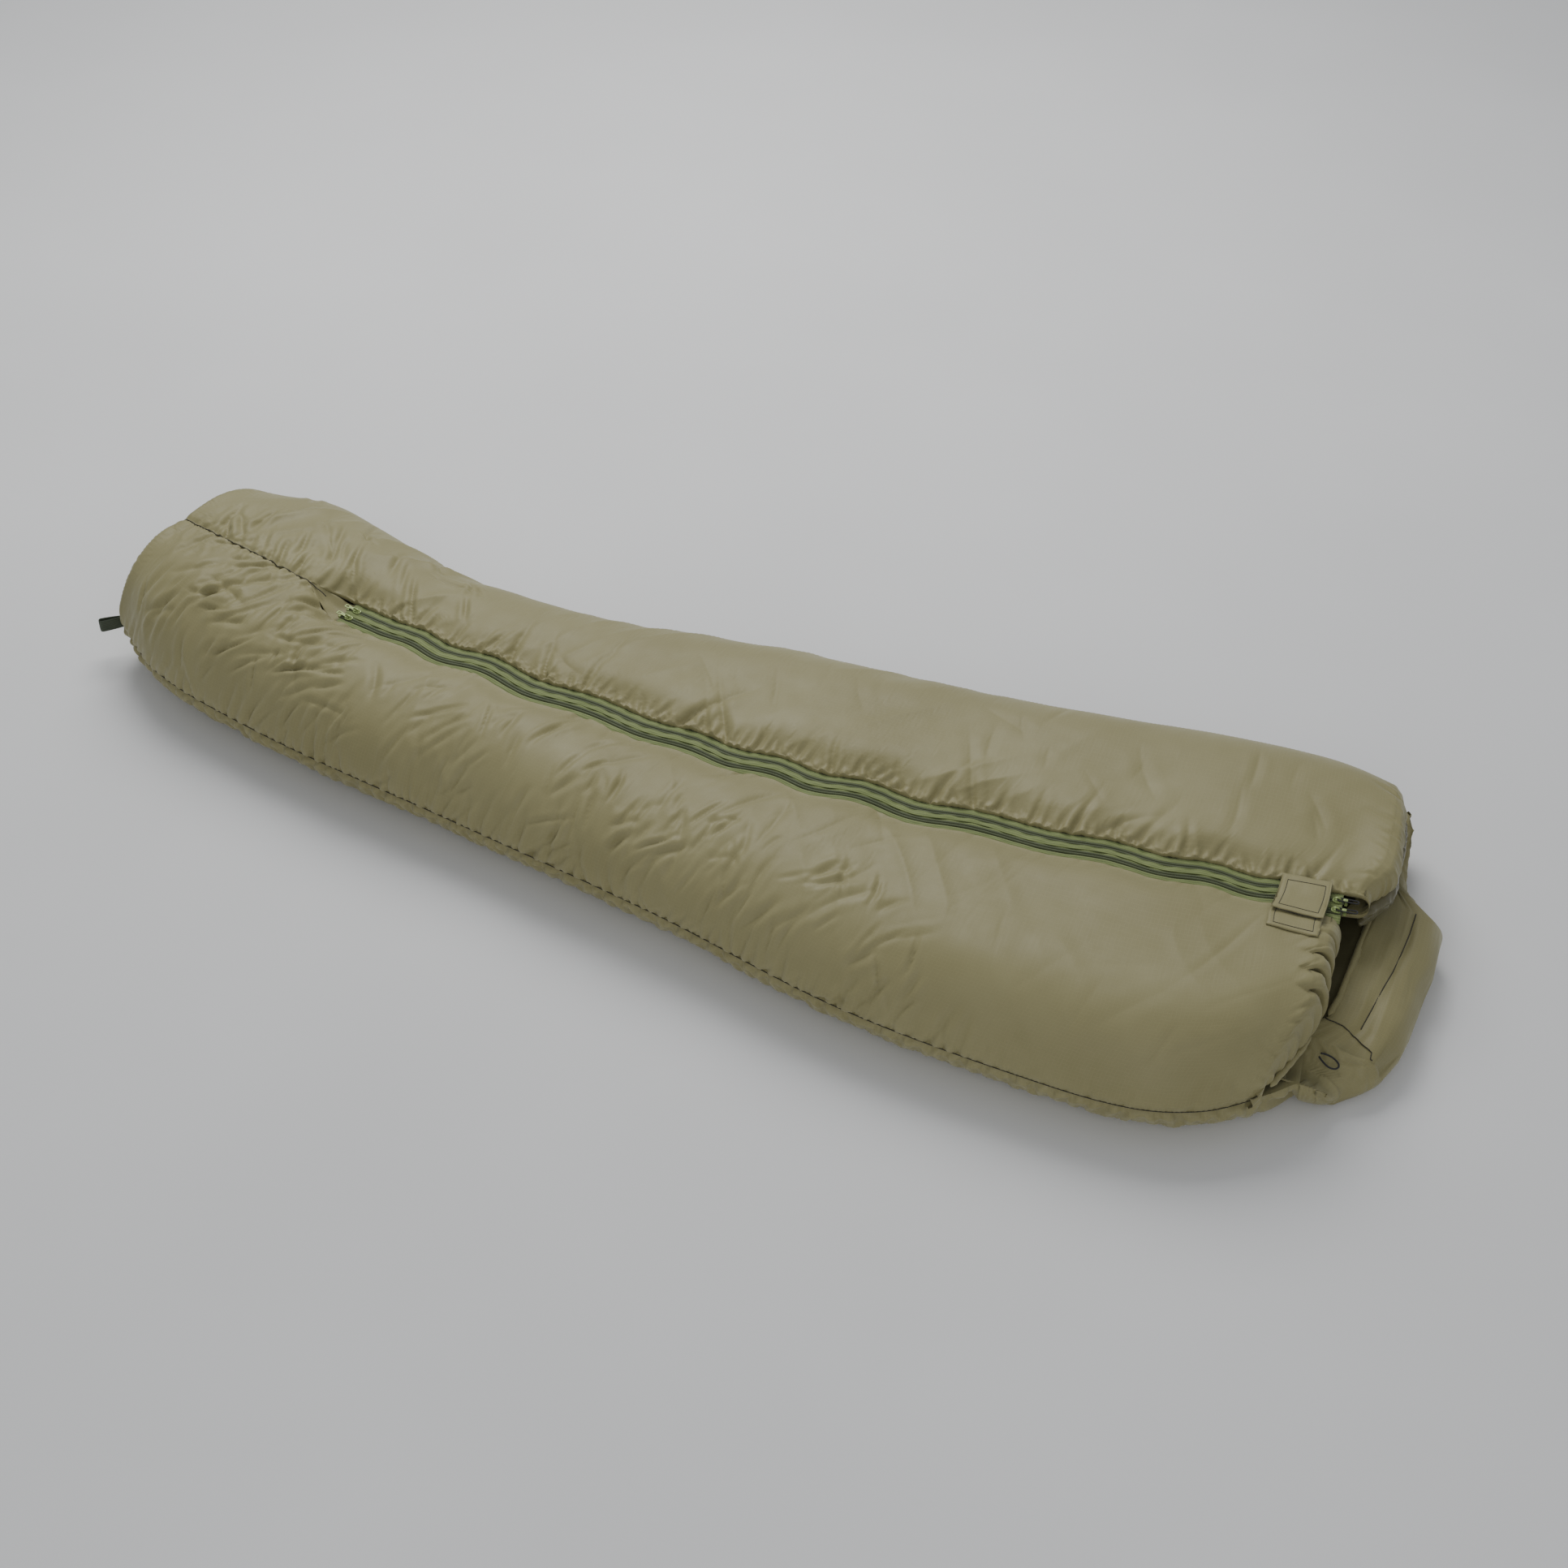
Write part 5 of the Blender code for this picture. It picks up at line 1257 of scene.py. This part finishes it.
def make_closure(look, near_x):
    """The closure tab with its hook strip, over the lower tab with its loop strip."""
    over = ZIP_HEIGHT + 0.0118
    under, under_path = tab_piece(
        "under_tab_cloth", [(0.771, -0.036), (0.843, -0.038), (0.838, -0.091), (0.767, -0.084)],
        0.0022, near_x, look["shell"], 3)
    stand_for(under, "olive_nylon", "bag", "under_tab")
    stitches("under_tab_stitching", [under_path], look["thread"], "bag", TAB_THREAD, TAB_STITCH)
    loop, _ = tab_piece(
        "loop_strip_pile", [(0.779, -0.037), (0.836, -0.038), (0.835, -0.050), (0.778, -0.047)],
        0.0048, near_x, look["strip"], 4, False)
    stand_for(loop, "hook_and_loop", "bag", "loop_strip")
    hook, _ = tab_piece(
        "hook_strip_hooks", [(0.777, -0.030), (0.836, -0.030), (0.834, -0.044), (0.776, -0.043)],
        0.0060, near_x, look["strip"], 5, False, over - 0.006)
    stand_for(hook, "hook_and_loop", "closure_tab", "hook_strip")
    tab, path = tab_piece(
        "closure_tab_cloth", [(0.778, 0.036), (0.848, 0.036), (0.843, -0.054), (0.771, -0.049)],
        0.0086, near_x, look["shell"], 6, True, over - 0.0086)
    stand_for(tab, "olive_nylon", "closure_tab", "closure_tab")
    stitches("closure_tab_stitching", [path], look["thread"], "closure_tab", TAB_THREAD, TAB_STITCH)


# ---------------------------------------------------------------- collars, rim, cords and hang loop


def crumpled_tube(path, radius, sides, seed, depth, twist=9.0, squeeze=1.0):
    """A roll of gathered cloth: a tube with folds that wind along it."""
    fine = resample(path, 0.0016)
    run = np.arange(len(fine))[:, None] * 0.0016
    angle = np.arange(sides)[None, :] * 2 * np.pi / sides
    folds = noise(run + 0.004 * angle, np.cos(angle), 0.011, 0.8, seed)
    folds = folds + 0.6 * np.sin(3 * angle + run * twist * 6.0)
    folds = folds + 0.7 * noise(run, np.sin(angle), 0.006, 0.5, seed + 1)
    tube = tube_sheet(fine, 1.0, sides, squeeze)
    taper = np.minimum(1.0, np.minimum(run, run[-1] - run) / (2.0 * radius) + 0.25)
    out = (tube - fine[:, None]) * (radius * taper * (1.0 + depth * folds))[..., None]
    return capped(fine[:, None] + out)


def make_collars(look, near_x, far_x):
    """The near collar's rolled hem, and the far collar's two gathered rolls inside the mouth."""
    row = near_x[-1]
    inward = -np.asarray(along(NEAR_COLLAR))
    clear = int(0.1 * len(row))
    path = row[clear:-2] * (1, 1, 0) + np.array((0, 0, 0.0935)) - inward * 0.006
    hem = crumpled_tube(path, 0.0046, 12, 111, 0.10)
    near = mesh_object("near_collar_roll", [cut(hem, 0, True)], [look["shell"]])
    stand_for(near, "olive_nylon", "bag", "near_collar_hem", "near_collar_elastic")
    row = far_x[-1][::-1]
    out = np.asarray(along(FAR_COLLAR))
    row = row[2:-int(0.30 * len(row))]
    flat = row * (1, 1, 0)
    low = flat + np.minimum(0.122, row[:, 2:] - 0.030) * UP + out * 0.012
    high = flat + np.minimum(0.108, row[:, 2:] - 0.044) * UP + out * 0.010
    bundle = crumpled_tube(low, 0.0095, 22, 121, 0.13, 7.0)
    second = crumpled_tube(high, 0.0090, 20, 131, 0.15, -8.0)
    far = mesh_object("far_collar_gather", [cut(bundle, 0, True), cut(second, 0, True)], [look["lining"]])
    stand_for(far, "dark_olive_lining", "far_flap", "far_collar_hem", "far_collar_elastic")


def make_rim(look, rim):
    """The hood's rim: a rolled channel with its drawcord inside."""
    keep = rim[(rim[:, 1] > -0.125 + CENTRING[1]) & (rim[:, 1] < 0.195 + CENTRING[1])]
    path = keep + np.array((-0.0030, 0.0, -0.0020))
    roll = crumpled_tube(path, 0.0052, 14, 141, 0.05, 3.0)
    obj = mesh_object("hood_rim_roll", [cut(roll, 0, True)], [look["shell"]])
    stand_for(obj, "olive_nylon", "hood", "hood_rim_channel", "hood_drawcord")


def make_cord_loop(look):
    """The free end of the hood's drawcord, a loop lying on the hood."""
    knots = np.array(CORD_ROUTE) + CENTRING
    run = np.concatenate(([0.0], np.cumsum(np.linalg.norm(np.diff(knots, axis=0), axis=1))))
    at = np.linspace(0.0, run[-1], 70)
    path = np.stack([through(list(zip(run, knots[:, k])), at) for k in range(3)], 1)
    braid = 0.5 * CORD_DIAMETER * (1.0 + 0.04 * np.cos(np.arange(len(path)) * 2.1))
    tube = capped(tube_sheet(path, braid, 10))
    obj = mesh_object("hood_cord_end", [cut(tube, 0, True)], [look["cord"]])
    stand_for(obj, "black_cord", "hood", "hood_cord_loop")


def make_hang_loop(look):
    """Folded webbing, sewn in at the near corner of the foot."""
    length, gap, thick, width = 0.0395, 0.0068, 0.0014, 0.022
    reach = length - gap / 2.0 - thick
    a = np.linspace(-0.5 * np.pi, 0.5 * np.pi, 12)
    r = gap / 2.0 + thick / 2.0
    straight = [(x, -r * (0.25 + 0.75 * math.sin(0.5 * math.pi * x / reach)))
                for x in np.linspace(-SEWN_IN, reach, 16)[:-1]]
    path = straight + [(reach + r * math.cos(t), r * math.sin(t)) for t in a]
    path += [(x, -y) for x, y in straight[::-1]]
    path = resample(np.array([(x, y, 0.0) for x, y in path]), 0.0012)
    way = np.gradient(path, axis=0)
    way /= np.linalg.norm(way, axis=1, keepdims=True)
    out = np.stack((way[:, 1], -way[:, 0], 0 * way[:, 0]), 1)
    u = np.linspace(-1.0, 1.0, 15)
    crown = 1.0 - 0.6 * np.abs(u) ** 8
    ribs = 1.0 + 0.10 * np.cos(np.arange(len(path)) * 2.6)[:, None]
    face = []
    for sign in (1.0, -1.0):
        lift = 0.5 * thick * sign * crown[None, :] * ribs
        row = path[:, None] + out[:, None] * lift[..., None] + UP * (u * width / 2.0)[None, :, None]
        face.append(row if sign > 0 else row[:, ::-1])
    ring = capped(np.concatenate(face, 1))
    side = Vector((0, 0, 1)).cross(LOOP_WAY)
    matrix = Matrix((LOOP_WAY, side, Vector((0, 0, 1)))).transposed().to_4x4()
    matrix.translation = Vector(place(*LOOP_ROOT))
    obj = mesh_object("hang_loop_webbing", [cut(ring, 0, True)], [look["webbing"]])
    obj.data.transform(matrix)
    stand_for(obj, "dark_green_webbing", "foot_loop", "foot_hang_loop")


# ---------------------------------------------------------------- materials


class Nodes:
    """A small helper to wire a material's nodes."""

    def __init__(self, name):
        self.material = bpy.data.materials.new(name)
        self.material.use_nodes = True
        self.tree = self.material.node_tree
        self.shader = self.tree.nodes["Principled BSDF"]

    def add(self, kind, **settings):
        node = self.tree.nodes.new(kind)
        for key, value in settings.items():
            setattr(node, key, value)
        return node

    def link(self, source, target):
        self.tree.links.new(source, target)

    def math(self, operation, a, b=None):
        node = self.add("ShaderNodeMath", operation=operation)
        for socket, value in zip(node.inputs, (a, b)):
            if value is None:
                continue
            if isinstance(value, (int, float)):
                socket.default_value = value
            else:
                self.link(value, socket)
        return node.outputs[0]

    def noise(self, where, scale, detail=2.0, rough=0.5):
        node = self.add("ShaderNodeTexNoise")
        node.inputs["Scale"].default_value = scale
        node.inputs["Detail"].default_value = detail
        node.inputs["Roughness"].default_value = rough
        self.link(where, node.inputs["Vector"])
        return node.outputs["Fac"]

    def ramp(self, factor, low, high, from_low=0.3, from_high=0.7):
        node = self.add("ShaderNodeMapRange")
        node.inputs["From Min"].default_value = from_low
        node.inputs["From Max"].default_value = from_high
        node.inputs["To Min"].default_value = low
        node.inputs["To Max"].default_value = high
        self.link(factor, node.inputs["Value"])
        return node.outputs["Result"]

    def mix(self, factor, a, b):
        node = self.add("ShaderNodeMix", data_type="RGBA")
        self.link(factor, node.inputs["Factor"])
        for socket, colour in ((node.inputs["A"], a), (node.inputs["B"], b)):
            if isinstance(colour, tuple):
                socket.default_value = (*colour, 1.0)
            else:
                self.link(colour, socket)
        return node.outputs["Result"]

    def bump(self, height, strength, distance, below=None):
        node = self.add("ShaderNodeBump")
        node.inputs["Strength"].default_value = strength
        node.inputs["Distance"].default_value = distance
        self.link(height, node.inputs["Height"])
        if below is not None:
            self.link(below, node.inputs["Normal"])
        return node.outputs["Normal"]

    def object_place(self):
        return self.add("ShaderNodeTexCoord").outputs["Object"]

    def cloth_place(self):
        return self.add("ShaderNodeUVMap", uv_map="cloth").outputs["UV"]

    def threads(self, pitch_u, pitch_v):
        """Over and under of a plain weave, from 0 to 1."""
        split = self.add("ShaderNodeSeparateXYZ")
        self.link(self.cloth_place(), split.inputs[0])
        u = self.math("SINE", self.math("MULTIPLY", split.outputs["X"], 2 * math.pi / pitch_u))
        v = self.math("SINE", self.math("MULTIPLY", split.outputs["Y"], 2 * math.pi / pitch_v))
        return self.math("ADD", self.math("MULTIPLY", u, v), 1.0), split

    def grid_lines(self, split, pitch, width):
        """1 on the stouter threads of a ripstop grid."""
        lines = []
        for axis in ("X", "Y"):
            wave = self.math("PINGPONG", split.outputs[axis], pitch / 2.0)
            lines.append(self.math("LESS_THAN", wave, width))
        return self.math("MAXIMUM", *lines)


def shell_cloth(name, light, dark, rough, sheen, gloss, coat=0.0, ripstop=0.0055):
    """Thin woven nylon: satin, with a fine weave, a faint ripstop grid and slow changes of tone."""
    m = Nodes(name)
    where = m.object_place()
    tone = m.ramp(m.noise(where, 5.0, 4.0, 0.6), 0.0, 1.0, 0.32, 0.68)
    colour = m.mix(tone, dark, light)
    weave, split = m.threads(0.0011, 0.0011)
    grid = m.grid_lines(split, ripstop, 0.00035)
    pale = tuple(min(1.0, 1.10 * c) for c in light)
    colour = m.mix(m.math("MULTIPLY", grid, 0.30), colour, pale)
    speck = m.ramp(m.noise(where, 900.0, 1.0), 0.0, 0.16)
    colour = m.mix(speck, colour, tuple(0.7 * c for c in dark))
    m.link(colour, m.shader.inputs["Base Color"])
    m.link(m.ramp(m.noise(where, 24.0, 3.0), rough - 0.05, rough + 0.07), m.shader.inputs["Roughness"])
    crease = m.bump(m.noise(where, 85.0, 3.0, 0.55), 0.16, 0.0009)
    lines = m.bump(grid, 0.25, 0.0002, crease)
    m.link(m.bump(weave, 0.12, 0.0001, lines), m.shader.inputs["Normal"])
    m.shader.inputs["Sheen Weight"].default_value = sheen
    m.shader.inputs["Sheen Roughness"].default_value = 0.45
    m.shader.inputs["Sheen Tint"].default_value = (0.90, 0.90, 0.70, 1.0)
    m.shader.inputs["Specular IOR Level"].default_value = gloss
    if coat:
        m.shader.inputs["Coat Weight"].default_value = coat
        m.shader.inputs["Coat Roughness"].default_value = 0.35
    return m.material


def tape_cloth(name, light, dark, pitch_u, pitch_v, rough, height=0.0003):
    """Ribbed woven tape or webbing: ribs along it and picks across it."""
    m = Nodes(name)
    where = m.object_place()
    split = m.add("ShaderNodeSeparateXYZ")
    m.link(m.cloth_place(), split.inputs[0])
    ribs = m.math("SINE", m.math("MULTIPLY", split.outputs["Y"], 2 * math.pi / pitch_v))
    across_run = m.math("MULTIPLY", split.outputs["X"], 2 * math.pi / pitch_u)
    picks = m.math("SINE", m.math("ADD", across_run, m.math("MULTIPLY", ribs, 1.2)))
    weave = m.math("ADD", m.math("MULTIPLY", ribs, 0.6), m.math("MULTIPLY", picks, 0.4))
    tone = m.ramp(m.noise(where, 30.0, 3.0), 0.0, 1.0, 0.3, 0.7)
    colour = m.mix(m.ramp(weave, 0.0, 1.0, -0.9, 0.7), dark, light)
    colour = m.mix(m.math("MULTIPLY", tone, 0.35), colour, dark)
    m.link(colour, m.shader.inputs["Base Color"])
    m.link(m.ramp(m.noise(where, 60.0), rough - 0.06, rough + 0.06), m.shader.inputs["Roughness"])
    m.link(m.bump(weave, 0.55, height), m.shader.inputs["Normal"])
    m.shader.inputs["Sheen Weight"].default_value = 0.15
    m.shader.inputs["Sheen Roughness"].default_value = 0.5
    return m.material


def painted_metal(name, light, dark, metallic, rough):
    """Painted die-cast metal, rubbed paler at random with use."""
    m = Nodes(name)
    where = m.object_place()
    worn = m.ramp(m.noise(where, 420.0, 3.0, 0.65), 0.0, 1.0, 0.45, 0.72)
    m.link(m.mix(worn, light, dark), m.shader.inputs["Base Color"])
    m.link(m.ramp(m.noise(where, 260.0, 2.0), rough - 0.08, rough + 0.12), m.shader.inputs["Roughness"])
    m.link(m.bump(m.noise(where, 700.0, 2.0), 0.12, 0.0002), m.shader.inputs["Normal"])
    m.shader.inputs["Metallic"].default_value = metallic
    return m.material


def strip_pile(name, light, dark):
    """Hook and loop tape: short dense pile."""
    m = Nodes(name)
    where = m.object_place()
    pile = m.noise(where, 1400.0, 2.0, 0.7)
    m.link(m.mix(m.ramp(pile, 0.0, 1.0, 0.35, 0.65), dark, light), m.shader.inputs["Base Color"])
    m.link(m.bump(pile, 0.8, 0.0008), m.shader.inputs["Normal"])
    m.shader.inputs["Roughness"].default_value = 0.92
    m.shader.inputs["Sheen Weight"].default_value = 0.3
    return m.material


def floor_paint():
    """The plain pale floor."""
    m = Nodes("pale_floor")
    where = m.object_place()
    m.link(m.mix(m.ramp(m.noise(where, 1.5, 3.0), 0.0, 1.0), (0.76, 0.76, 0.75), (0.80, 0.80, 0.79)),
           m.shader.inputs["Base Color"])
    m.shader.inputs["Roughness"].default_value = 0.85
    return m.material


def make_looks():
    """The bag's materials."""
    return {
        "shell": shell_cloth("olive_shell_cloth", *SHELL_TONES, 0.50, 0.22, 0.32),
        "lining": shell_cloth("dark_lining_cloth", *LINING_TONES, 0.34, 0.15, 0.45, 0.2, 0.008),
        "tape": tape_cloth("green_tape_weave", *TAPE_TONES, 0.0016, 0.0042, 0.75),
        "coil": tape_cloth("chain_nylon", *COIL_TONES, 0.0019, 0.0500, 0.68, 0.0001),
        "slider": painted_metal("light_green_paint", *SLIDER_TONES, 0.20, 0.36),
        "strip": strip_pile("hook_and_loop_pile", *PILE_TONES),
        "cord": tape_cloth("black_braid", *CORD_TONES, 0.0015, 0.0012, 0.55, 0.0002),
        "webbing": tape_cloth("dark_green_weave", *WEBBING_TONES, 0.0016, 0.0028, 0.72),
        "thread": tape_cloth("dark_thread", *THREAD_TONES, 0.0012, 0.0006, 0.7, 0.0001),
    }


# ---------------------------------------------------------------- camera and studio


def camera():
    """Looks down on the bag from beyond its near side."""
    target = Vector(CAMERA_TARGET) + Vector(CENTRING)
    azimuth, elevation = math.radians(CAMERA_AZIMUTH), math.radians(CAMERA_ELEVATION)
    back = Vector((math.sin(azimuth) * math.cos(elevation), -math.cos(azimuth) * math.cos(elevation),
                   math.sin(elevation)))
    data = bpy.data.cameras.new("camera")
    data.lens = LENS
    data.sensor_width = 36.0
    cam = bpy.data.objects.new("camera", data)
    cam.location = target + back * CAMERA_DISTANCE
    cam.rotation_euler = (-back).to_track_quat("-Z", "Y").to_euler()
    bpy.context.scene.collection.objects.link(cam)
    bpy.context.scene.camera = cam


def area_light(name, place_at, aim, size, power):
    data = bpy.data.lights.new(name, "AREA")
    data.shape = "RECTANGLE"
    data.size, data.size_y = size
    data.energy = power
    lamp = bpy.data.objects.new(name, data)
    lamp.location = place_at
    lamp.rotation_euler = (Vector(aim) - Vector(place_at)).to_track_quat("-Z", "Y").to_euler()
    bpy.context.scene.collection.objects.link(lamp)


def studio():
    """Floor, two soft lights and a faint sky."""
    mesh = bmesh.new()
    bmesh.ops.create_grid(mesh, x_segments=1, y_segments=1, size=12.0)
    data = bpy.data.meshes.new("floor")
    mesh.to_mesh(data)
    mesh.free()
    floor = bpy.data.objects.new("floor", data)
    floor.location.z = -0.001
    bpy.context.scene.collection.objects.link(floor)
    data.materials.append(floor_paint())
    area_light("key", (-1.2, 2.0, 3.2), (0.0, 0.0, 0.0), (2.6, 2.6), KEY_POWER)
    area_light("fill", (1.6, -3.4, 2.4), (0.0, 0.0, 0.1), (3.0, 3.0), FILL_POWER)
    world = bpy.data.worlds.new("world")
    world.use_nodes = True
    sky = world.node_tree.nodes["Background"]
    sky.inputs["Color"].default_value = (0.9, 0.93, 1.0, 1)
    sky.inputs["Strength"].default_value = SKY_POWER
    bpy.context.scene.world = world


# ---------------------------------------------------------------- the whole bag


def quilt_nodes(*names):
    """The three layers of each named wall."""
    return [f"{name}_{layer}" for name in names for layer in ("shell", "fill", "lining")]


def make_seams(look, near_x, far_x):
    """Threads along the side seams, the closed foot seam and the end panel's seam."""
    first = dome_rows() - 1
    lines = []
    for x in (near_x, far_x):
        out = np.sign(x[len(x) // 2, 0, 1] - x[len(x) // 2, -1, 1])
        lines.append(x[:, 0] + np.asarray(across(0.0)) * out * 0.0006)
    stitches("side_seam_stitching", lines, look["thread"], "bag", THREAD)
    seam_rows = int((GUSSET_END - 0.03 - FOOT_END) / ROW_STEP) + first
    middle = 0.5 * (near_x[:seam_rows, -1] + far_x[:seam_rows, -1])
    stitches("foot_seam_stitching", [middle + 0.0008 * UP], look["thread"], "bag", THREAD)
    round_end = np.concatenate((near_x[0], far_x[0][::-1])) - np.asarray(along(FOOT_END)) * 0.0008
    stitches("end_panel_stitching", [round_end], look["thread"], "bag", THREAD)


def make_quilts(look):
    """The five quilted walls and the stitching between them."""
    quilt = [look["shell"], look["lining"]]
    near, near_x = panel("near_top_quilt", -1, quilt)
    stand_for(near, "olive_nylon", "bag", *quilt_nodes("near_top"))
    far, far_x = panel("far_top_quilt", 1, quilt)
    stand_for(far, "olive_nylon", None, *quilt_nodes("far_side", "far_flap"))
    fold_blend(far)
    base, base_x = make_base(quilt)
    stand_for(base, "olive_nylon", "bag", *quilt_nodes("base"))
    foot = make_foot_end(quilt)
    stand_for(foot, "olive_nylon", "bag", *quilt_nodes("foot_end"))
    hood, cross_line, gore_line, rim = make_hood(quilt, base_x[-1])
    stand_for(hood, "olive_nylon", None, *quilt_nodes("hood"))
    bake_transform(hood)
    lines = [line + 0.0008 * UP for line in (cross_line, gore_line)]
    stitches("hood_stitching", lines, look["thread"], "hood", THREAD)
    make_seams(look, near_x, far_x)
    return near_x, far_x, rim


def build():
    """The whole bag in its studio. The small end stops of the zips keep their CAD shape."""
    camera()
    studio()
    look = make_looks()
    near_x, far_x, rim = make_quilts(look)
    make_zips(look)
    make_draft_tube(look["lining"])
    make_gusset(look["shell"])
    make_sliders(look)
    make_closure(look, near_x)
    make_collars(look, near_x, far_x)
    make_rim(look, rim)
    make_cord_loop(look)
    make_hang_loop(look)
    for node in ("bottom_stop_a", "bottom_stop_b", "top_stop_a", "top_stop_b"):
        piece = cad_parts[node]
        piece.data.materials.clear()
        piece.data.materials.append(look["slider"])


build()
